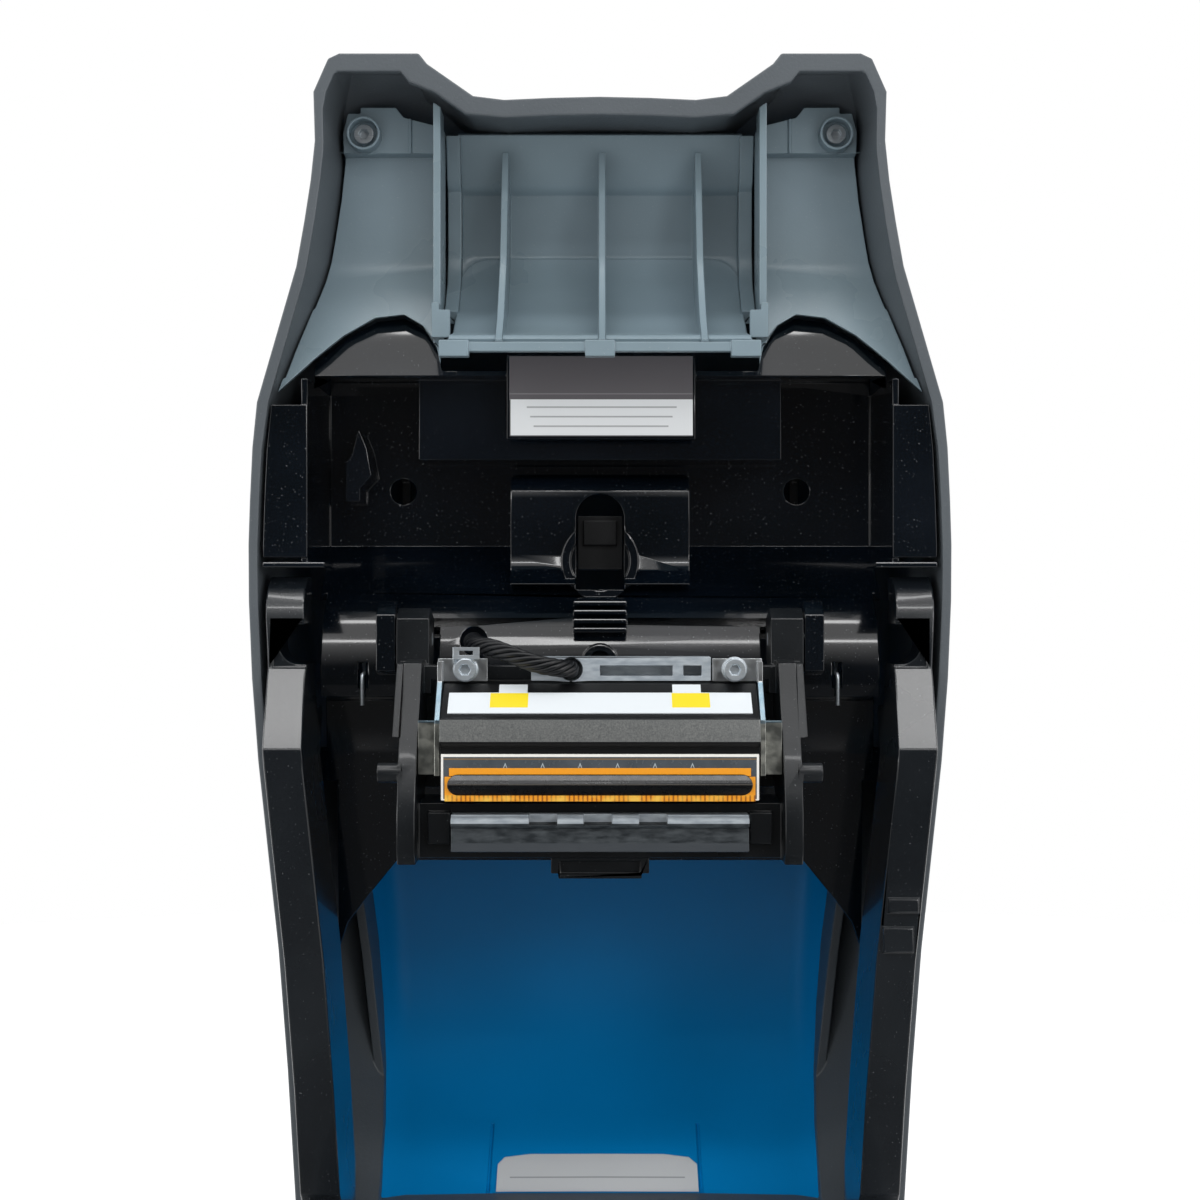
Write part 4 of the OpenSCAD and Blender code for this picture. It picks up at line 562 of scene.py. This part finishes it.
def wire(name, points, radius):
    """A round wire through points, as a mesh at the origin."""
    curve = bpy.data.curves.new(name, "CURVE")
    curve.dimensions = "3D"
    curve.bevel_depth = radius
    curve.bevel_resolution = 3
    curve.use_fill_caps = True
    spline = curve.splines.new("POLY")
    spline.points.add(len(points) - 1)
    for point, place_at in zip(spline.points, points):
        point.co = (*place_at, 1)
    piece = bpy.data.objects.new(name, curve)
    bpy.context.collection.objects.link(piece)
    only(piece)
    bpy.ops.object.convert(target="MESH")
    piece = bpy.context.object
    bpy.ops.object.shade_smooth_by_angle(angle=math.radians(60))
    return piece


def join(pieces, name):
    """Joins pieces into the first of them."""
    only(pieces[0])
    for p in pieces:
        p.select_set(True)
    bpy.ops.object.join()
    pieces[0].name = name
    return pieces[0]


ROUTE_STEPS = 110
STRANDS, TWIST_TURNS = 8, 2.6
CORE_R, STRAND_R, BUNDLE_R = 0.00125, 0.00066, 0.00188
route = smooth_route([on_lid(*p) for p in cable_points], ROUTE_STEPS)
strands = [wire("core", route, CORE_R)]
for s in range(STRANDS):
    path = []
    for i, point in enumerate(route):
        ahead = (route[min(i + 1, ROUTE_STEPS)] - route[max(i - 1, 0)]).normalized()
        across = ahead.cross(Vector((0, 0, 1))).normalized()
        lift = across.cross(ahead)
        angle = 2 * math.pi * (s / STRANDS + TWIST_TURNS * i / ROUTE_STEPS)
        path.append(point + BUNDLE_R * (across * math.cos(angle) + lift * math.sin(angle)))
    strands.append(wire(f"strand_{s}", path, STRAND_R))
cable = join(strands, "twisted_cable")
cable.data.materials.clear()
settle(cable, "head_cable")
print("cable faces:", len(cable.data.polygons))

# %% [markdown]
# ## The spring wires
# Two torsion springs push the head's carriage forward. Only a coil and one bright leg show through a slot
# in the bay. The coil is a helix, and the leg is the same wire carried on, bent over and down.

# %% Wind the springs
SPRING_WIRE_R = 0.0006
COIL_TURNS, COIL_STEPS, LEG_STEPS = 3, 72, 30
COIL_R, COIL_LENGTH = 2.3, 3.3
COIL_X, COIL_DEPTH, COIL_Z = 67.4, 18.6, 178.6
LEFT_OUT = 6
leg_points = [
    (69.9, 18.4, 175.8), (69.5, 16.8, 174), (69.3, 14, 172.8), (69.3, 11, 172.6),
    (69.3, 9.8, 171.6), (69.3, 9.6, 168), (69.3, 9.6, 163.6),
]


def torsion_spring(side):
    """One wire: three turns, less the LEFT_OUT last steps, and a leg that takes over from there."""
    path = []
    for i in range(COIL_STEPS + 1):
        a = math.radians(i * 360 * COIL_TURNS / COIL_STEPS)
        x = side * (COIL_X + COIL_LENGTH * i / COIL_STEPS)
        path.append(on_lid(x, COIL_DEPTH + COIL_R * math.cos(a), COIL_Z + COIL_R * math.sin(a)))
    leg = smooth_route([on_lid(side * x, depth, z) for x, depth, z in leg_points], LEG_STEPS)
    name = "spring_left" if side < 0 else "spring_right"
    return wire(name, path[:-LEFT_OUT] + leg, SPRING_WIRE_R)


springs = join([torsion_spring(-1), torsion_spring(1)], "spring_wires")
springs.data.materials.clear()
settle(springs, "carriage_springs")
print("spring faces:", len(springs.data.polygons))

# %% [markdown]
# ## Studio floor and light
# The picture has a white ground and soft, broad light from above. The world is white to the camera, to
# glass and to reflections, apart from a dim room behind the camera, and it lights every surface at a plain
# level. The floor is white too, but reflections see it dark in front of the printer. The dim room and the
# dark stretch of floor keep the gloss black parts deep, because a part that faces the camera mirrors both.
# Two wide, narrow lamps above draw the highlights along the drums and the arms, and one lamp on each side
# rounds the casing.


# %% Set the stage
def background_rays(tree):
    """1 for camera, glossy and transmission rays."""
    rays = tree.nodes.new("ShaderNodeLightPath")
    seen = math_node(tree, "MAXIMUM", rays.outputs["Is Camera Ray"], rays.outputs["Is Transmission Ray"])
    return math_node(tree, "MAXIMUM", seen, rays.outputs["Is Glossy Ray"])


bpy.ops.object.select_all(action="DESELECT")
bpy.ops.mesh.primitive_circle_add(vertices=64, radius=1.6, fill_type="NGON", location=(0, 0, 0))
floor = bpy.context.object
floor.name = "floor"
FLOOR_WHITE = (0.9, 0.9, 0.9, 1)
FLOOR_GLOW = 0.2
floor_paint, tree, shader = plain("floor white", Base_Color=FLOOR_WHITE, Roughness=0.9)
glow = tree.nodes.new("ShaderNodeEmission")
glow.inputs["Color"].default_value = (1, 1, 1, 1)
floor_at = tree.nodes.new("ShaderNodeSeparateXYZ")
tree.links.new(tree.nodes.new("ShaderNodeTexCoord").outputs["Object"], floor_at.inputs[0])
floor_rays = tree.nodes.new("ShaderNodeLightPath")
dimming = ramp(tree, floor_at.outputs["Y"], -0.45, 0.3, 0.97, 0.0)
dimmed = math_node(tree, "MULTIPLY", dimming, floor_rays.outputs["Is Glossy Ray"])
lit = math_node(tree, "SUBTRACT", 1.0, dimmed)
tree.links.new(mix_colour(tree, lit, (0, 0, 0, 1), FLOOR_WHITE), shader.inputs["Base Color"])
own_light = math_node(tree, "MULTIPLY", background_rays(tree), FLOOR_GLOW)
tree.links.new(math_node(tree, "MULTIPLY", own_light, lit), glow.inputs["Strength"])
both_shaders = tree.nodes.new("ShaderNodeAddShader")
tree.links.new(shader.outputs[0], both_shaders.inputs[0])
tree.links.new(glow.outputs[0], both_shaders.inputs[1])
tree.links.new(both_shaders.outputs[0], tree.nodes["Material Output"].inputs["Surface"])
floor.data.materials.append(floor_paint)

world = bpy.data.worlds.new("studio")
bpy.context.scene.world = world
world.use_nodes = True
tree = world.node_tree
sky = tree.nodes["Background"]
sky.inputs["Color"].default_value = (1, 1, 1, 1)
direction = tree.nodes.new("ShaderNodeSeparateXYZ")
tree.links.new(tree.nodes.new("ShaderNodeTexCoord").outputs["Generated"], direction.inputs[0])
room = ramp(tree, direction.outputs["Y"], -0.96, -0.72, 0.03, 1.0)
world_rays = tree.nodes.new("ShaderNodeLightPath").outputs
mirrored = math_node(tree, "MULTIPLY", room, world_rays["Is Glossy Ray"])
clear = math_node(tree, "MAXIMUM", world_rays["Is Camera Ray"], world_rays["Is Transmission Ray"])
plain_level = math_node(tree, "SUBTRACT", 1.0, background_rays(tree))
level = math_node(tree, "ADD", plain_level, math_node(tree, "MAXIMUM", mirrored, clear))
tree.links.new(level, sky.inputs["Strength"])


def soft_lamp(name, at, target, width, height, power):
    """A rectangular lamp at a place, turned to the target, in metres and watts."""
    data = bpy.data.lights.new(name, "AREA")
    data.shape = "RECTANGLE"
    data.size, data.size_y, data.energy = width, height, power
    lamp = bpy.data.objects.new(name, data)
    lamp.location = at
    lamp.rotation_euler = (Vector(target) - Vector(at)).to_track_quat("-Z", "Y").to_euler()
    bpy.context.collection.objects.link(lamp)


LOOK = (0, 0.12, 0.32)
soft_lamp("lamp_top", (0, -0.14, 1.25), LOOK, 1.1, 0.1, 2.0)
soft_lamp("lamp_front", (0, -0.62, 1.05), LOOK, 0.9, 0.05, 1.1)
soft_lamp("lamp_left", (-0.8, -0.5, 0.6), LOOK, 0.12, 0.7, 0.8)
soft_lamp("lamp_right", (0.7, -0.95, 0.8), LOOK, 0.3, 0.35, 1.8)
print("stage set")

# %% [markdown]
# ## The remaining solids
# The rest of the solids keep their shape and get their finish.

# %% Finish the remaining nodes
for name, obj in nodes.items():
    if not obj.material_slots:
        obj.data.materials.append(None)
    for material_slot in obj.material_slots:
        material_slot.material = finish_for(name)
